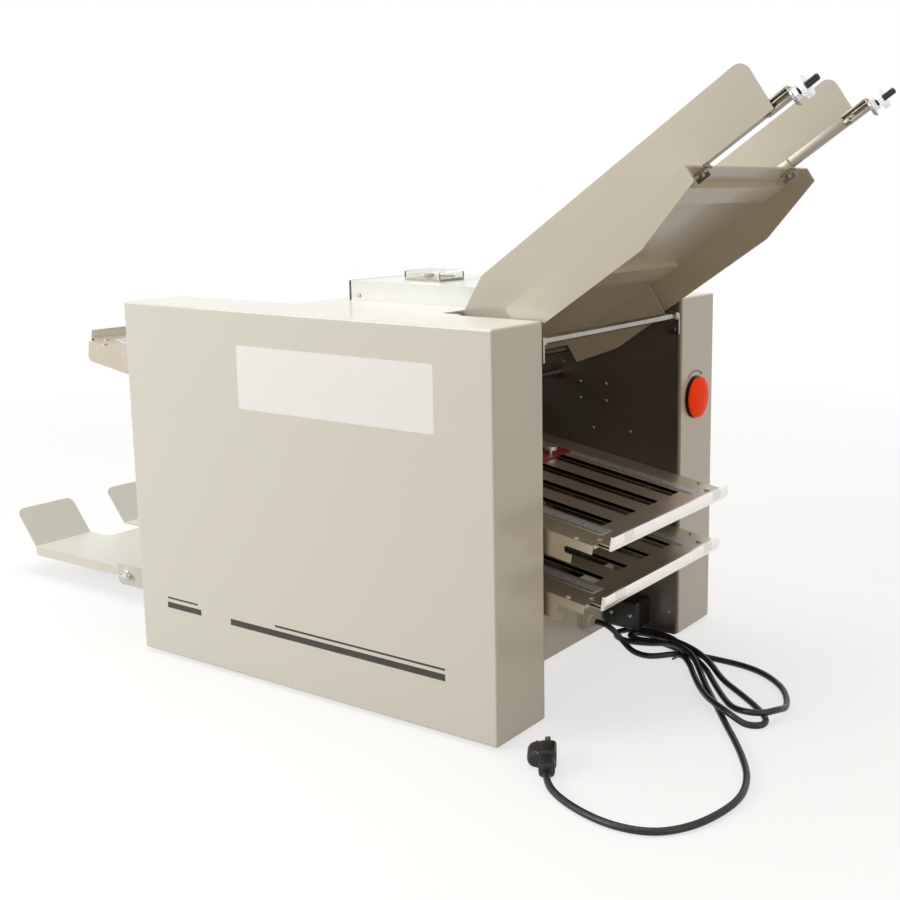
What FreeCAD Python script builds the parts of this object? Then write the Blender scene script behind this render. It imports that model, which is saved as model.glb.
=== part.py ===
import FreeCAD, Part
import math
import os

from FreeCAD import Vector

# A desk paper folding machine. X runs from the exit tray to the feed table, Y from the near cover to
# the far one, Z is up. The floor is at Z 0, and X 0 and Y 0 are the middle of the machine's footprint.

# Side covers and the space between them
cover_length = 604.0
cover_height = 480.0
cover_depth = 94.5
side_gap = 341.0
cover_sheet = 1.5
cover_bend_radius = 3.0
cover_lip = 20.0
overrun = 2.0

# Feet under the covers
foot_height = 4.0
foot_radius = 15.0
foot_top_radius = 17.0
foot_inset = 42.0

# Side frames inside the covers
frame_thickness = 5.0
frame_setback = 3.0
frame_screw_shares = [
    (0.315, 0.792),
    (0.268, 0.735),
    (0.197, 0.734),
    (0.268, 0.685),
    (0.197, 0.683),
    (0.232, 0.598),
    (0.131, 0.598),
    (0.023, 0.067),
    (0.977, 0.067),
    (0.977, 0.933),
]
frame_screw_radius = 2.0
frame_screw_head_radius = 3.0
frame_screw_head_height = 1.6
frame_screw_end = 2.5

# Base pan and the low panel above it on the feed side
pan_sheet = 1.5
pan_setback = 105.0
pan_panel_height = 92.0
pan_flange_height = 16.0
pan_end_setback = 4.0

# Top deck between the covers
deck_sheet = 1.5
deck_left_setback = 388.0
deck_right_setback = 152.0
deck_flange = 22.0
deck_play = 0.2
deck_ledge_length = 29.0
deck_ledge_width = 10.0

# Control box on the deck
control_left_setback = 359.5
control_half_width = 92.0
control_height = 26.0
control_sheet = 1.5
control_end_thickness = 3.5
control_screw_inset = 13.5
control_screw_height = 7.0
control_screw_radius = 3.0
control_screw_head = 1.5

# Switch panel and its hinged clear guard
guard_left_setback = 304.0
guard_length = 60.0
guard_near_y = -48.0
guard_width = 51.0
guard_base_height = 3.0
guard_height = 10.0
guard_wall = 1.4
guard_gap = 0.2
guard_pin_radius = 1.0
guard_knuckle_radius = 2.2
guard_knuckle_length = 12.0
guard_lug_length = 5.0
guard_pin_play = 0.05
start_button_radius = 7.0
start_button_height = 4.0
start_stem_radius = 3.0
start_stem_length = 8.0
start_travel_gap = 2.0
start_share = 0.3
start_play = 0.05

# Feed table: its slope, where its foot stands, and its folded sheet
table_angle = 34.93
table_foot_setback = 173.9
table_foot_rise = 407.5
table_sheet = 2.0
table_side_play = 1.0
table_wide_length = 282.5
table_length = 428.0
table_end_flange = 19.4
table_flange = 44.0
table_low_flange = 41.9
table_kink = 94.0
tongue_half_width = 150.0
tongue_overlap = 14.0
tongue_flange = 48.0
tongue_end_flange = 30.0
tongue_bend_share = 0.57
tongue_radius = 60.0
table_bar_half_length = 132.0
table_bar_depth = 8.0
table_bar_width = 32.0
table_bar_sheet = 1.5
table_bar_places_shares = [0.064, 0.482]

# Rods across the frames
table_rod_radius = 5.0
table_rod_setback = 9.3
table_rod_rise = 456.0
table_stud_radius = 4.0
table_stud_length = 9.0
table_stud_gap = 0.3
table_stud_inset = 2.5
holder_radius = 8.0
holder_length = 9.0
holder_tab = 3.0
holder_tab_reach = 25.0
holder_screw_reach = 18.0
idler_radius = 4.5
idler_gap = 1.5
idler_nut_radius = 8.0
idler_nut_length = 7.0
spacer_rod_radius = 6.0
spacer_rod_shares = [(0.955, 0.9), (0.955, 0.3)]

# Paper side guides that slide across the table
guide_fin_y = 122.0
guide_fin_sheet = 1.5
guide_fin_height = 64.0
guide_fin_reach = 98.5
guide_fin_corner = 14.0
guide_fin_tail_inset = 2.0
guide_fin_taper = 109.0
guide_fin_tail_height = 17.0
guide_gap = 0.3
guide_arm = 11.0
guide_arm_start = 60.0
guide_block_start = 85.0
guide_block_length = 36.0
guide_block_width = 16.0
guide_block_drop = 1.0
guide_end_plate = 1.5
guide_end_plate_drop = 11.0
guide_stud_rise = 0.5
guide_clip_width = 15.0
guide_clip_sheet = 2.0
guide_clip_depth = 6.5
guide_clip_reach = 16.0
guide_washer_radius = 8.0
guide_washer_thickness = 1.6
guide_hex_across = 13.0
guide_hex_length = 6.0
guide_stud_radius = 4.0
guide_stud_length = 32.0
guide_nut_radius = 12.5
guide_nut_length = 6.0
guide_nut_start = 12.0
guide_nut_play = 0.05
knurl_count = 24
knurl_depth = 0.7
lock_screw_radius = 2.0
lock_screw_play = 0.05
lock_head_radius = 4.0
lock_head_height = 4.0
lock_neck = 1.0
lock_wing_span = 18.0
lock_wing_height = 7.0
lock_wing_thickness = 2.0
lock_inset = 9.0

# Fold roller stack: where the first right-hand plate's plane crosses it
fold_angle = 9.0
stack_setback = 305.0
stack_rise = 283.0
nip_pitch = 37.35
roller_spacing = 40.0
roller_gap = 0.4
roller_count = 6
roller_end_gap = 5.5
shaft_radius = 6.0
bush_play = 0.05
bush_radius = 9.0
bush_flange_radius = 12.0
bush_flange = 2.0
shaft_end = 1.0

# Gears on the far ends of the fold rollers
gear_module = 2.0
gear_teeth = 20
gear_start = 3.0
gear_width = 12.0
gear_backlash = 0.5
gear_root_share = 1.25
gear_tip_share = 0.95
pressure_angle = 20.0
flank_shares = [0.0, 0.4, 0.7, 1.0]
gear_shaft_end = 16.0

# Belts and pulleys
pulley_start = 17.5
pulley_width = 12.0
big_pulley_radius = 32.0
motor_pulley_radius = 16.0
small_pulley_radius = 18.0
small_pulley_start = 3.0
exit_pulley_start = 17.0
belt_width = 9.0
belt_thickness = 1.8
belt_gap = 0.3
pulley_rim = 1.0

# Feed roller under the foot of the table, exit roller at the chute's end
feed_roller_radius = 20.0
feed_roller_run = 47.0
feed_roller_half_length = 60.0
exit_roller_radius = 15.0
exit_roller_half_length = 125.0
exit_setback = 575.0
exit_rise = 58.0

# Drive motor on the base pan
motor_setback = 200.0
motor_rise = 75.0
motor_radius = 46.0
motor_flange_radius = 50.0
motor_flange_length = 14.0
motor_length = 110.0
motor_foot_width = 70.0
motor_foot_length = 70.0
motor_bore_depth = 25.0

# Fold plates
plate_side_play = 1.5
plate_sheet = 1.2
plate_channel = 2.8
plate_start = 22.0
plate_wide_start = 35.0
plate_tongue_half = 150.0
plate_length = 374.0
left_upper_length = 527.0
plate_neck = 14.0
plate_flange = 30.0
plate_end_flange = 11.0
hook_slot = 8.5
hook_round = 4.0
hook_closed = 38.0
hook_arm_end = 26.5
plate_lower_inset = 3.0
rail_width = 10.0
rail_setback = 60.0
slot_width = 26.0
slot_spacing = 57.0
slot_start = 62.0
slot_end_margin = 28.0
slot_lower_step = 1.5
flange_corner = 8.0
bar_half_length = 149.0
bar_thickness = 6.0
bar_below = 5.6
bar_above = 11.5
bar_crown = 2.0
ruler_width = 23.0
ruler_y = 114.5
ruler_thickness = 0.8
ruler_end_margin = 11.5
ruler_start = 45.0
plate_screw_radius = 3.5
plate_screw_head = 1.8
plate_screw_outer_y = 157.0
plate_screw_inner_y = 138.0
plate_screw_outer_margin = 24.0
plate_screw_inner_margin = 3.0
plate_stud_radius = 4.0
plate_stud_length = 9.0
plate_stud_gap = 0.2
plate_stud_shares = [0.24, 0.7]

# Paper stops that slide on the plates, and their thumb screws
stop_place = 145.5
stop_left_place = 179.5
stop_length = 29.0
stop_half_width = 118.0
stop_sheet = 1.5
stop_gap = 0.2
stop_finger_width = 16.0
stop_finger_thickness = 3.0
stop_under_gap = 0.4
stop_under_length = 16.0
stop_under_sheet = 2.0
stop_finger_margin = 4.0
stop_screw_radius = 2.5
stop_screw_play = 0.05
stop_screw_inset = 14.0
stop_neck_radius = 4.0
stop_neck_length = 4.5
stop_head_radius = 9.0
stop_head_length = 5.5

# Exit chute under the stack
chute_sheet = 1.5
chute_start_setback = 358.0
chute_start_rise = 166.0
chute_end_setback = 555.0
chute_end_rise = 71.0
chute_lip = 12.0
deflector_start_setback = 343.0
deflector_start_rise = 206.0
deflector_end_setback = 408.0
deflector_end_rise = 176.0

# Exit tray on its two brackets
tray_sheet = 1.5
tray_rise = 45.0
tray_half_width = 137.75
tray_inner_setback = 597.0
tray_outer_reach = 427.0
tray_flange = 15.0
tongue_inner_y = 34.75
ear_lean = 46.0
ear_rise = 56.0
ear_corner = 12.0
ear_recess = 50.0
recess_corner = 10.0
bracket_sheet = 2.0
bracket_gap = 0.3
bracket_reach = 217.0
bracket_bottom = 19.0
bracket_top_gap = 6.0
bracket_corner = 9.0
bracket_inner_setback = 558.0
bracket_foot = 18.0
bracket_foot_length = 40.0
bracket_ledge = 9.0
bracket_ledge_gap = 0.2
tray_screw_reach = 195.0
tray_screw_rise = 37.0
tray_screw_radius = 3.0
tray_screw_play = 0.05
tray_screw_tip_gap = 0.05
tray_washer_radius = 7.0
tray_washer_gap = 0.3
tray_washer = 1.5
tray_hub_radius = 5.0
tray_hub_length = 6.0
tray_wing_span = 22.0
tray_wing_height = 9.0
tray_wing_thickness = 2.5

# Stop button on the far cover's feed end
stop_button_y = 210.25
stop_button_rise = 338.0
stop_ring_radius = 30.0
stop_ring_thickness = 1.5
stop_barrel_radius = 11.0
stop_barrel_length = 42.0
stop_back_nut_radius = 17.0
stop_back_nut = 5.0
stop_stem_radius = 8.0
stop_stem_play = 0.05
stop_stem_length = 30.0
stop_head_gap = 3.5
stop_mushroom_radius = 28.5
stop_mushroom_thickness = 7.5
stop_dome_radius = 84.0
stop_socket_depth = 5.0
stop_pin_radius = 5.0

# Mains terminal cover on the far frame
terminal_setback = 100.0
terminal_length = 56.0
terminal_depth = 35.0
terminal_bottom = 8.0
terminal_height = 42.0
terminal_wall = 2.5
terminal_round = 4.0
terminal_screw_radius = 3.0
terminal_screw_head = 1.5
terminal_screw_inset_share = 0.22

# Mains cord: x and y count from the gland's mouth, z from the floor
cord_radius = 4.0
bend_share = 0.45
cord_sample = 2.0
cord_apart = 25.0
mouth_height = 35.5
lead_route = [
    (0, 0, mouth_height), (12, 0, mouth_height), (26, 2, 29), (38, 5, 16), (54, 2, 5), (72, -5, 4),
    (93, -3, 4), (122, 24, 7),
]
front_loop_route = [
    (148, 0, 4), (172, -34, 4), (201, -71, 5), (233, -110, 13), (267, -131, 13), (287, -132, 4),
    (301, -132, 4), (311, -123, 4), (307, -105, 4), (281, -79, 4), (243, -50, 4), (208, -25, 4),
    (177, 0, 14),
]
inner_fold_route = [
    (144, 25, 14.5), (110, 40, 14.5), (88, 57, 8), (67, 67, 4), (45, 69, 4), (26, 64, 4), (24, 49, 4),
    (43, 42, 4), (66, 51, 4), (86, 47, 4),
]
back_loop_route = [
    (108, 35.5, 6), (142, 21, 6), (172, -1, 4), (202, -38, 4), (232, -73, 4), (259, -103, 7),
    (283, -119, 13), (305, -113, 13.5), (316, -91, 13), (314, -63, 4), (302, -33, 4), (281, -3, 4),
    (246, 23, 4), (211, 34, 4), (177, 35, 4),
]
outer_fold_route = [
    (146, 29, 6), (112, 44.5, 6), (94, 66, 4), (70, 78, 4), (39, 81, 4), (13, 73, 4), (2, 54, 4),
    (10, 37, 4), (30, 29, 4), (50, 33, 4), (69, 41, 4), (87, 38, 9),
]
tail_route = [
    (106.5, 31, 14.5), (140, 16, 14.5), (163, -7, 9), (188, -39, 4), (216, -75, 4), (243, -108, 4),
    (271, -144, 4), (299, -178, 4), (327, -215, 4), (351, -253, 4), (365, -297, 4), (362, -339, 4),
    (349, -381, 4), (323, -412, 4), (281, -422, 4), (235, -414, 4), (195, -397, 4), (174, -382, 7),
    (165, -368, 7),
]

# Cable gland in the low panel
gland_y = 78.0
gland_rise = mouth_height - foot_height
gland_boss_radius = 14.0
gland_boss_length = 6.0
gland_cap_radius = 12.0
gland_cap_length = 12.0
gland_nose_length = 6.0
gland_nose_radius = 6.5
gland_barrel_radius = 8.0
gland_barrel_length = 12.0
gland_nut_radius = 12.0
gland_nut_length = 4.0

# Tie round the five strands of the hank
tie_x = 131.0
tie_y = 25.3
tie_heading = -24.3
tie_low = 6.3
tie_rise = 8.5
tie_spread = 9.2
tie_bulge = 2.2
tie_width = 6.0
tie_thickness = 1.4
tie_gap = 0.8
tie_tail_length = 9.0
tie_tail_radius = 3.0

# Plug on the floor at the cord's end
plug_neck_length = 22.0
plug_neck_width = 18.5
plug_neck_height = 20.0
plug_head_length = 28.0
plug_head_width = 21.0
plug_head_height = 23.0
plug_round = 2.5
plug_lobe_radius = 10.5
plug_lobe_offset = 12.0
plug_lobe_round = 6.0
blade_length = 18.0
blade_width = 6.4
blade_thickness = 1.5
blade_spacing = 12.7
blade_hole_radius = 1.6
blade_hole_inset = 4.0
earth_pin_radius = 2.4
earth_pin_length = 21.0

# Directions
X_AXIS = Vector(1, 0, 0)
Y_AXIS = Vector(0, 1, 0)
Z_AXIS = Vector(0, 0, 1)
NO_MOVE = Vector(0, 0, 0)

# Places that follow from the sizes above
half_gap = side_gap / 2
frame_y = half_gap - frame_thickness
outer_y = half_gap + cover_depth
base_z = foot_height
cover_top = base_z + cover_height
slope_cos = math.cos(math.radians(table_angle))
slope_sin = math.sin(math.radians(table_angle))
table_reach = table_length * slope_cos - table_foot_setback
table_rise = table_length * slope_sin + table_foot_rise
guide_tip = guide_block_start + guide_block_length + guide_stud_length
feed_reach = table_reach + guide_tip * slope_cos
exit_reach = tray_outer_reach + ear_lean
right_x = (cover_length + exit_reach - feed_reach) / 2
left_x = right_x - cover_length


class Slope:
    """A tilted working plane: a runs along it, b stands square to it, and y stays level."""

    def __init__(self, x, z, along, up):
        self.origin = Vector(x, 0, z)
        self.along = along
        self.up = up

    def at(self, a, b, y=0):
        return self.origin + self.along * a + self.up * b + Y_AXIS * y


def tilt(angle, side):
    """The directions along and square to a sheet that falls by angle towards +X."""
    turn = math.radians(angle)
    along = Vector(side * math.cos(turn), 0, -side * math.sin(turn))
    return along, Vector(math.sin(turn), 0, math.cos(turn))


level = Slope(0, 0, X_AXIS, Z_AXIS)
table = Slope(right_x + table_reach, base_z + table_rise, *tilt(-table_angle, 1))
right_fold = Slope(right_x - stack_setback, base_z + stack_rise, *tilt(fold_angle, 1))
left_fold = Slope(right_x - stack_setback, base_z + stack_rise, *tilt(fold_angle, -1))


def box(x0, x1, y0, y1, z0, z1):
    """A block between two corners."""
    return Part.makeBox(x1 - x0, y1 - y0, z1 - z0, Vector(x0, y0, z0))


def rounded_outline(corners, slope):
    """A closed face through (a, b) corners; a third number rounds that corner."""
    points = [slope.at(corner[0], corner[1]) for corner in corners]
    starts, ends, middles = [], [], []
    for i, corner in enumerate(corners):
        here = points[i]
        radius = corner[2] if len(corner) > 2 else 0
        if not radius:
            starts.append(here)
            ends.append(here)
            middles.append(None)
            continue
        back = (points[i - 1] - here).normalize()
        ahead = (points[(i + 1) % len(points)] - here).normalize()
        half_angle = back.getAngle(ahead) / 2
        reach = radius / math.tan(half_angle)
        bisector = (back + ahead).normalize()
        centre = here + bisector * (radius / math.sin(half_angle))
        starts.append(here + back * reach)
        ends.append(here + ahead * reach)
        middles.append(centre - bisector * radius)
    edges = []
    for i, middle in enumerate(middles):
        if middle is not None:
            edges.append(Part.Arc(starts[i], middle, ends[i]).toShape())
        following = starts[(i + 1) % len(starts)]
        if (following - ends[i]).Length > 0:
            edges.append(Part.LineSegment(ends[i], following).toShape())
    return Part.Face(Part.Wire(edges))


def slab(slope, corners, y0, y1):
    """An outline on a slope, as a plate from y0 to y1."""
    face = rounded_outline(corners, slope)
    face.translate(Y_AXIS * y0)
    return face.extrude(Y_AXIS * (y1 - y0))


def block(slope, a0, a1, b0, b1, y0, y1):
    """A block with its edges along a slope."""
    return slab(slope, [(a0, b0), (a1, b0), (a1, b1), (a0, b1)], y0, y1)


def rod_y(slope, a, b, radius, y0, y1):
    """A round bar across the machine."""
    return Part.makeCylinder(radius, y1 - y0, slope.at(a, b, y0), Y_AXIS)


def rod_along(slope, a0, a1, b, y, radius):
    """A round bar along a slope."""
    return Part.makeCylinder(radius, a1 - a0, slope.at(a0, b, y), slope.along)


def rod_up(slope, a, y, b0, b1, radius):
    """A round bar square to a slope."""
    return Part.makeCylinder(radius, b1 - b0, slope.at(a, b0, y), slope.up)


def across(shape, side):
    """The shape itself on the far side, or its mirror image on the near side."""
    if side > 0:
        return shape
    return shape.mirror(NO_MOVE, Y_AXIS)


def joined(pieces):
    """Several overlapping or touching shapes as one solid."""
    return pieces[0].fuse(pieces[1:]).removeSplitter()


def cut(shape, tools):
    """A shape less a list of others."""
    return shape.cut(tools)


def polygon_y(slope, a, b, across_flats, y0, y1):
    """A hexagonal bar across the machine."""
    corner = across_flats / 2 / math.cos(math.radians(30))
    turns = [math.radians(60 * k) for k in range(6)]
    corners = [(a + corner * math.cos(t), b + corner * math.sin(t)) for t in turns]
    return slab(slope, corners, y0, y1)


def hex_along(slope, a0, a1, b, y, across_flats):
    """A hexagonal bar along a slope."""
    corner = across_flats / 2 / math.cos(math.radians(30))
    turns = [math.radians(60 * k) for k in range(7)]
    points = [slope.at(a0, b + corner * math.sin(t), y + corner * math.cos(t)) for t in turns]
    face = Part.Face(Part.makePolygon(points))
    return face.extrude(slope.along * (a1 - a0))


def knurled(centre, axis, radius, length):
    """A disc with grooves round its edge, from centre along axis."""
    disc = Part.makeCylinder(radius, length, centre, axis)
    side = axis.cross(Y_AXIS) if abs(axis.dot(Y_AXIS)) < 0.9 else X_AXIS
    side.normalize()
    other = axis.cross(side)
    grooves = []
    for k in range(knurl_count):
        turn = 2 * math.pi * k / knurl_count
        rim = centre + (side * math.cos(turn) + other * math.sin(turn)) * radius
        grooves.append(Part.makeCylinder(knurl_depth, length, rim, axis))
    return cut(disc, grooves)


def save(node, *solids):
    """Write one node's solids as a STEP file."""
    for solid in solids:
        if not solid.isValid() or solid.Volume <= 0:
            print("bad solid in", node)
    if len(solids) == 1:
        solids[0].exportStep("parts/" + node + ".step")
    else:
        Part.makeCompound(list(solids)).exportStep("parts/" + node + ".step")


# The fold roller stack

def roller_places():
    """The six roller centres as (a, b) on the right-hand fold plane, in a zigzag from the top."""
    shift = math.sqrt(roller_spacing ** 2 - nip_pitch ** 2) / 2
    top = 1.5 * nip_pitch
    return [(shift * (-1) ** k, top - nip_pitch * k) for k in range(roller_count)]


def roller_centre(number):
    """The centre of fold roller number 1 to 6, in the machine's frame."""
    a, b = roller_places()[number - 1]
    return right_fold.at(a, b)


def feed_centre():
    """The feed roller touches the table's plane from below, past the table's foot."""
    return table.at(-table_length - feed_roller_run, -feed_roller_radius)


def exit_centre():
    return Vector(right_x - exit_setback, 0, base_z + exit_rise)


def motor_centre():
    return Vector(right_x - motor_setback, 0, base_z + motor_rise)


def shaft_centres():
    """Every shaft that runs in bushes in the side frames."""
    centres = [roller_centre(k + 1) for k in range(roller_count)]
    return centres + [feed_centre(), exit_centre()]


def round_at(centre, radius, y0, y1):
    """A round bar across the machine through a centre."""
    return Part.makeCylinder(radius, y1 - y0, Vector(centre.x, y0, centre.z), Y_AXIS)


def gear(centre, phase):
    """A spur gear with a tooth centred at the angle phase, from +X towards +Z."""
    pitch = gear_module * gear_teeth / 2
    base = pitch * math.cos(math.radians(pressure_angle))
    tip = pitch + gear_module * gear_tip_share
    root = pitch - gear_module * gear_root_share
    half_tooth = (math.pi * gear_module / 2 - gear_backlash) / 2 / pitch
    involute_at_pitch = math.tan(math.radians(pressure_angle)) - math.radians(pressure_angle)
    y0 = half_gap + gear_start
    points = []
    for k in range(gear_teeth):
        middle = phase + 2 * math.pi * k / gear_teeth
        flank = []
        for share in flank_shares:
            radius = base + (tip - base) * share
            roll = math.sqrt(max((radius / base) ** 2 - 1, 0))
            half = half_tooth + involute_at_pitch - (roll - math.atan(roll))
            flank.append((radius, half))
        foot = flank[0][1]
        outline = [(root, -foot)] + [(r, -h) for r, h in flank] + [(r, h) for r, h in reversed(flank)]
        outline.append((root, foot))
        for radius, angle in outline:
            turn = middle + angle
            across_x = centre.x + radius * math.cos(turn)
            points.append(Vector(across_x, y0, centre.z + radius * math.sin(turn)))
    points.append(points[0])
    wheel = Part.Face(Part.makePolygon(points)).extrude(Y_AXIS * gear_width)
    bore = round_at(centre, shaft_radius, y0 - overrun, y0 + gear_width + overrun)
    return cut(wheel, [bore])


def gear_phases():
    """Tooth phases that put neighbouring gears in mesh down the zigzag."""
    pitch_angle = 2 * math.pi / gear_teeth
    phases = [0]
    for number in range(1, roller_count):
        step = roller_centre(number + 1) - roller_centre(number)
        line = math.atan2(step.z, step.x)
        phases.append(2 * line + math.pi + pitch_angle / 2 - phases[-1])
    return phases


def pulley(centre, radius, y0, y1, bore_radius):
    """A belt pulley with a low rim each side, bored for its shaft."""
    wheel = round_at(centre, radius, y0, y1)
    near_rim = round_at(centre, radius + pulley_rim, y0, y0 + pulley_rim)
    far_rim = round_at(centre, radius + pulley_rim, y1 - pulley_rim, y1)
    bore = round_at(centre, bore_radius, y0 - overrun, y1 + overrun)
    return cut(joined([wheel, near_rim, far_rim]), [bore])


def near_pulley(centre, start):
    """A small pulley beyond the near frame."""
    y1 = -(half_gap + start)
    return pulley(centre, small_pulley_radius, y1 - pulley_width, y1, shaft_radius)


def belt(centre_a, radius_a, centre_b, radius_b, y0, y1):
    """A closed belt round two pulleys."""
    def hull(extra):
        ra = radius_a + extra
        rb = radius_b + extra
        line = centre_b - centre_a
        length = line.Length
        heading = math.atan2(line.z, line.x)
        lean = math.acos((ra - rb) / length)
        corners = []
        for centre, radius, turn in ((centre_a, ra, lean), (centre_a, ra, -lean),
                                     (centre_b, rb, -lean), (centre_b, rb, lean)):
            angle = heading + turn
            corners.append((centre.x + radius * math.cos(angle), centre.z + radius * math.sin(angle)))
        sides = slab(level, corners, y0, y1)
        return joined([sides, round_at(centre_a, ra, y0, y1), round_at(centre_b, rb, y0, y1)])
    return cut(hull(belt_gap + belt_thickness), [hull(belt_gap)])


def roller(centre, radius, half_length, near_end, far_end):
    """A roller turned in one piece with its shaft."""
    body = round_at(centre, radius, -half_length, half_length)
    shaft = round_at(centre, shaft_radius, -near_end, far_end)
    return joined([body, shaft])


def make_rollers():
    """Six geared fold rollers, the feed roller and the exit roller."""
    radius = (roller_spacing - roller_gap) / 2
    short = half_gap + shaft_end
    near_pulley_end = half_gap + small_pulley_start + pulley_width + shaft_end
    exit_pulley_end = half_gap + exit_pulley_start + pulley_width + shaft_end
    far_gear_end = half_gap + gear_shaft_end
    far_pulley_end = half_gap + pulley_start + pulley_width + shaft_end
    near_ends = {2: near_pulley_end, 6: exit_pulley_end}
    phases = gear_phases()
    for number in range(1, roller_count + 1):
        centre = roller_centre(number)
        far_end = far_pulley_end if number == 5 else far_gear_end
        near_end = near_ends.get(number, short)
        solids = [roller(centre, radius, frame_y - roller_end_gap, near_end, far_end)]
        solids.append(gear(centre, phases[number - 1]))
        if number == 2:
            solids.append(near_pulley(centre, small_pulley_start))
        if number == 5:
            y0 = half_gap + pulley_start
            solids.append(pulley(centre, big_pulley_radius, y0, y0 + pulley_width, shaft_radius))
        if number == 6:
            solids.append(near_pulley(centre, exit_pulley_start))
        save("fold_roller_%d" % number, *solids)
    feed = roller(feed_centre(), feed_roller_radius, feed_roller_half_length, near_pulley_end, short)
    save("feed_roller", feed, near_pulley(feed_centre(), small_pulley_start))
    exit_shaft = roller(exit_centre(), exit_roller_radius, exit_roller_half_length, exit_pulley_end, short)
    save("exit_roller", exit_shaft, near_pulley(exit_centre(), exit_pulley_start))


def make_bushes():
    """Flanged plain bushes for every shaft, pressed into both frames."""
    bushes = []
    for centre in shaft_centres():
        barrel = round_at(centre, bush_radius, frame_y, half_gap)
        flange = round_at(centre, bush_flange_radius, frame_y - bush_flange, frame_y)
        bore = round_at(centre, shaft_radius + bush_play,
                        frame_y - bush_flange - overrun, half_gap + overrun)
        bush = cut(joined([barrel, flange]), [bore])
        bushes.append(bush)
        bushes.append(across(bush, -1))
    save("roller_bushes", *bushes)


def make_drive():
    """The motor on the base pan, its shaft with the small pulley, and the three belts."""
    centre = motor_centre()
    body = round_at(centre, motor_radius, frame_y - motor_flange_length - motor_length, frame_y)
    flange = round_at(centre, motor_flange_radius, frame_y - motor_flange_length, frame_y)
    foot = box(centre.x - motor_foot_width / 2, centre.x + motor_foot_width / 2,
               frame_y - motor_flange_length - motor_foot_length, frame_y - motor_flange_length,
               base_z + pan_sheet, centre.z)
    bore = round_at(centre, shaft_radius + bush_play, frame_y - motor_bore_depth, frame_y + overrun)
    save("drive_motor", cut(joined([body, flange, foot]), [bore]))
    y0 = half_gap + pulley_start
    shaft = round_at(centre, shaft_radius, frame_y - motor_bore_depth, y0 + pulley_width + shaft_end)
    save("motor_pulley", shaft, pulley(centre, motor_pulley_radius, y0, y0 + pulley_width, shaft_radius))
    edge = (pulley_width - belt_width) / 2
    main = belt(roller_centre(5), big_pulley_radius, centre, motor_pulley_radius,
                y0 + edge, y0 + edge + belt_width)
    y1 = -(half_gap + small_pulley_start) - edge
    feed = belt(roller_centre(2), small_pulley_radius, feed_centre(), small_pulley_radius,
                y1 - belt_width, y1)
    y1 = -(half_gap + exit_pulley_start) - edge
    out = belt(roller_centre(6), small_pulley_radius, exit_centre(), small_pulley_radius,
               y1 - belt_width, y1)
    save("drive_belts", main, feed, out)


# Covers, frames, pan and deck

def rounded_case(x0, x1, y0, y1, z0, z1, radius):
    """A block with all its edges rounded but those of its y0 face."""
    case = box(x0, x1, y0, y1, z0, z1)
    edges = []
    for edge in case.Edges:
        ends = [vertex.Point.y for vertex in edge.Vertexes]
        if max(ends) - y0 > radius:
            edges.append(edge)
    return case.makeFillet(radius, edges)


def make_covers():
    """Two folded sheet boxes, each closed on its inner side by a frame behind a narrow lip."""
    x0, x1 = left_x, right_x
    z0, z1 = base_z, cover_top
    case = rounded_case(x0, x1, half_gap, outer_y, z0, z1, cover_bend_radius)
    cavity = rounded_case(x0 + cover_sheet, x1 - cover_sheet, half_gap + cover_sheet, outer_y - cover_sheet,
                          z0 + cover_sheet, z1 - cover_sheet, cover_bend_radius - cover_sheet)
    window = box(x0 + cover_lip, x1 - cover_lip, half_gap - overrun, half_gap + cover_sheet + overrun,
                 z0 + cover_lip, z1 - cover_lip)
    far = cut(case, [cavity, window])
    button_place = Vector(right_x - cover_lip / 2, stop_button_y, base_z + stop_button_rise)
    button_hole = Part.makeCylinder(stop_barrel_radius, cover_lip, button_place, X_AXIS)
    screw_holes = [round_at(place, frame_screw_radius, half_gap - overrun, half_gap + cover_sheet + overrun)
                   for place in frame_screw_places()]
    save("near_side_cover", cut(across(far, -1), [across(hole, -1) for hole in screw_holes]))
    save("far_side_cover", cut(far, [button_hole] + screw_holes))


def frame_screw_places():
    """Screw centres on the side frames, as points in the frame's plane."""
    places = []
    for back, up in frame_screw_shares:
        places.append(Vector(right_x - back * cover_length, 0, base_z + up * cover_height))
    return places


def make_frames():
    """Two steel side plates, bored for every bush and screw."""
    plate = box(left_x + frame_setback, right_x - frame_setback, frame_y, half_gap,
                base_z, cover_top - deck_sheet)
    holes = [round_at(centre, bush_radius, frame_y - overrun, half_gap + overrun)
             for centre in shaft_centres()]
    for place in frame_screw_places():
        holes.append(round_at(place, frame_screw_radius, frame_y - overrun, half_gap + overrun))
    motor_hole = round_at(motor_centre(), bush_radius, frame_y - overrun, half_gap + overrun)
    save("far_side_frame", cut(plate, holes + [motor_hole]))
    near_holes = [across(hole, -1) for hole in holes]
    save("near_side_frame", cut(across(plate, -1), near_holes))


def make_frame_screws():
    """Round-headed screws on the inner faces of both frames."""
    screws = []
    for place in frame_screw_places():
        head = round_at(place, frame_screw_head_radius, frame_y - frame_screw_head_height, frame_y)
        shank = round_at(place, frame_screw_radius, frame_y - overrun / 2, half_gap + frame_screw_end)
        screw = joined([head, shank])
        screws.append(screw)
        screws.append(across(screw, -1))
    save("frame_screws", *screws)


def make_feet():
    """Four short rubber feet under the covers."""
    feet = []
    for x in (left_x + foot_inset, right_x - foot_inset):
        for side in (-1, 1):
            y = side * (half_gap + cover_depth / 2)
            feet.append(Part.makeCone(foot_radius, foot_top_radius, foot_height, Vector(x, y, 0), Z_AXIS))
    save("rubber_feet", *feet)


def gland_centre():
    return Vector(right_x - pan_setback, gland_y, base_z + gland_rise)


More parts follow.
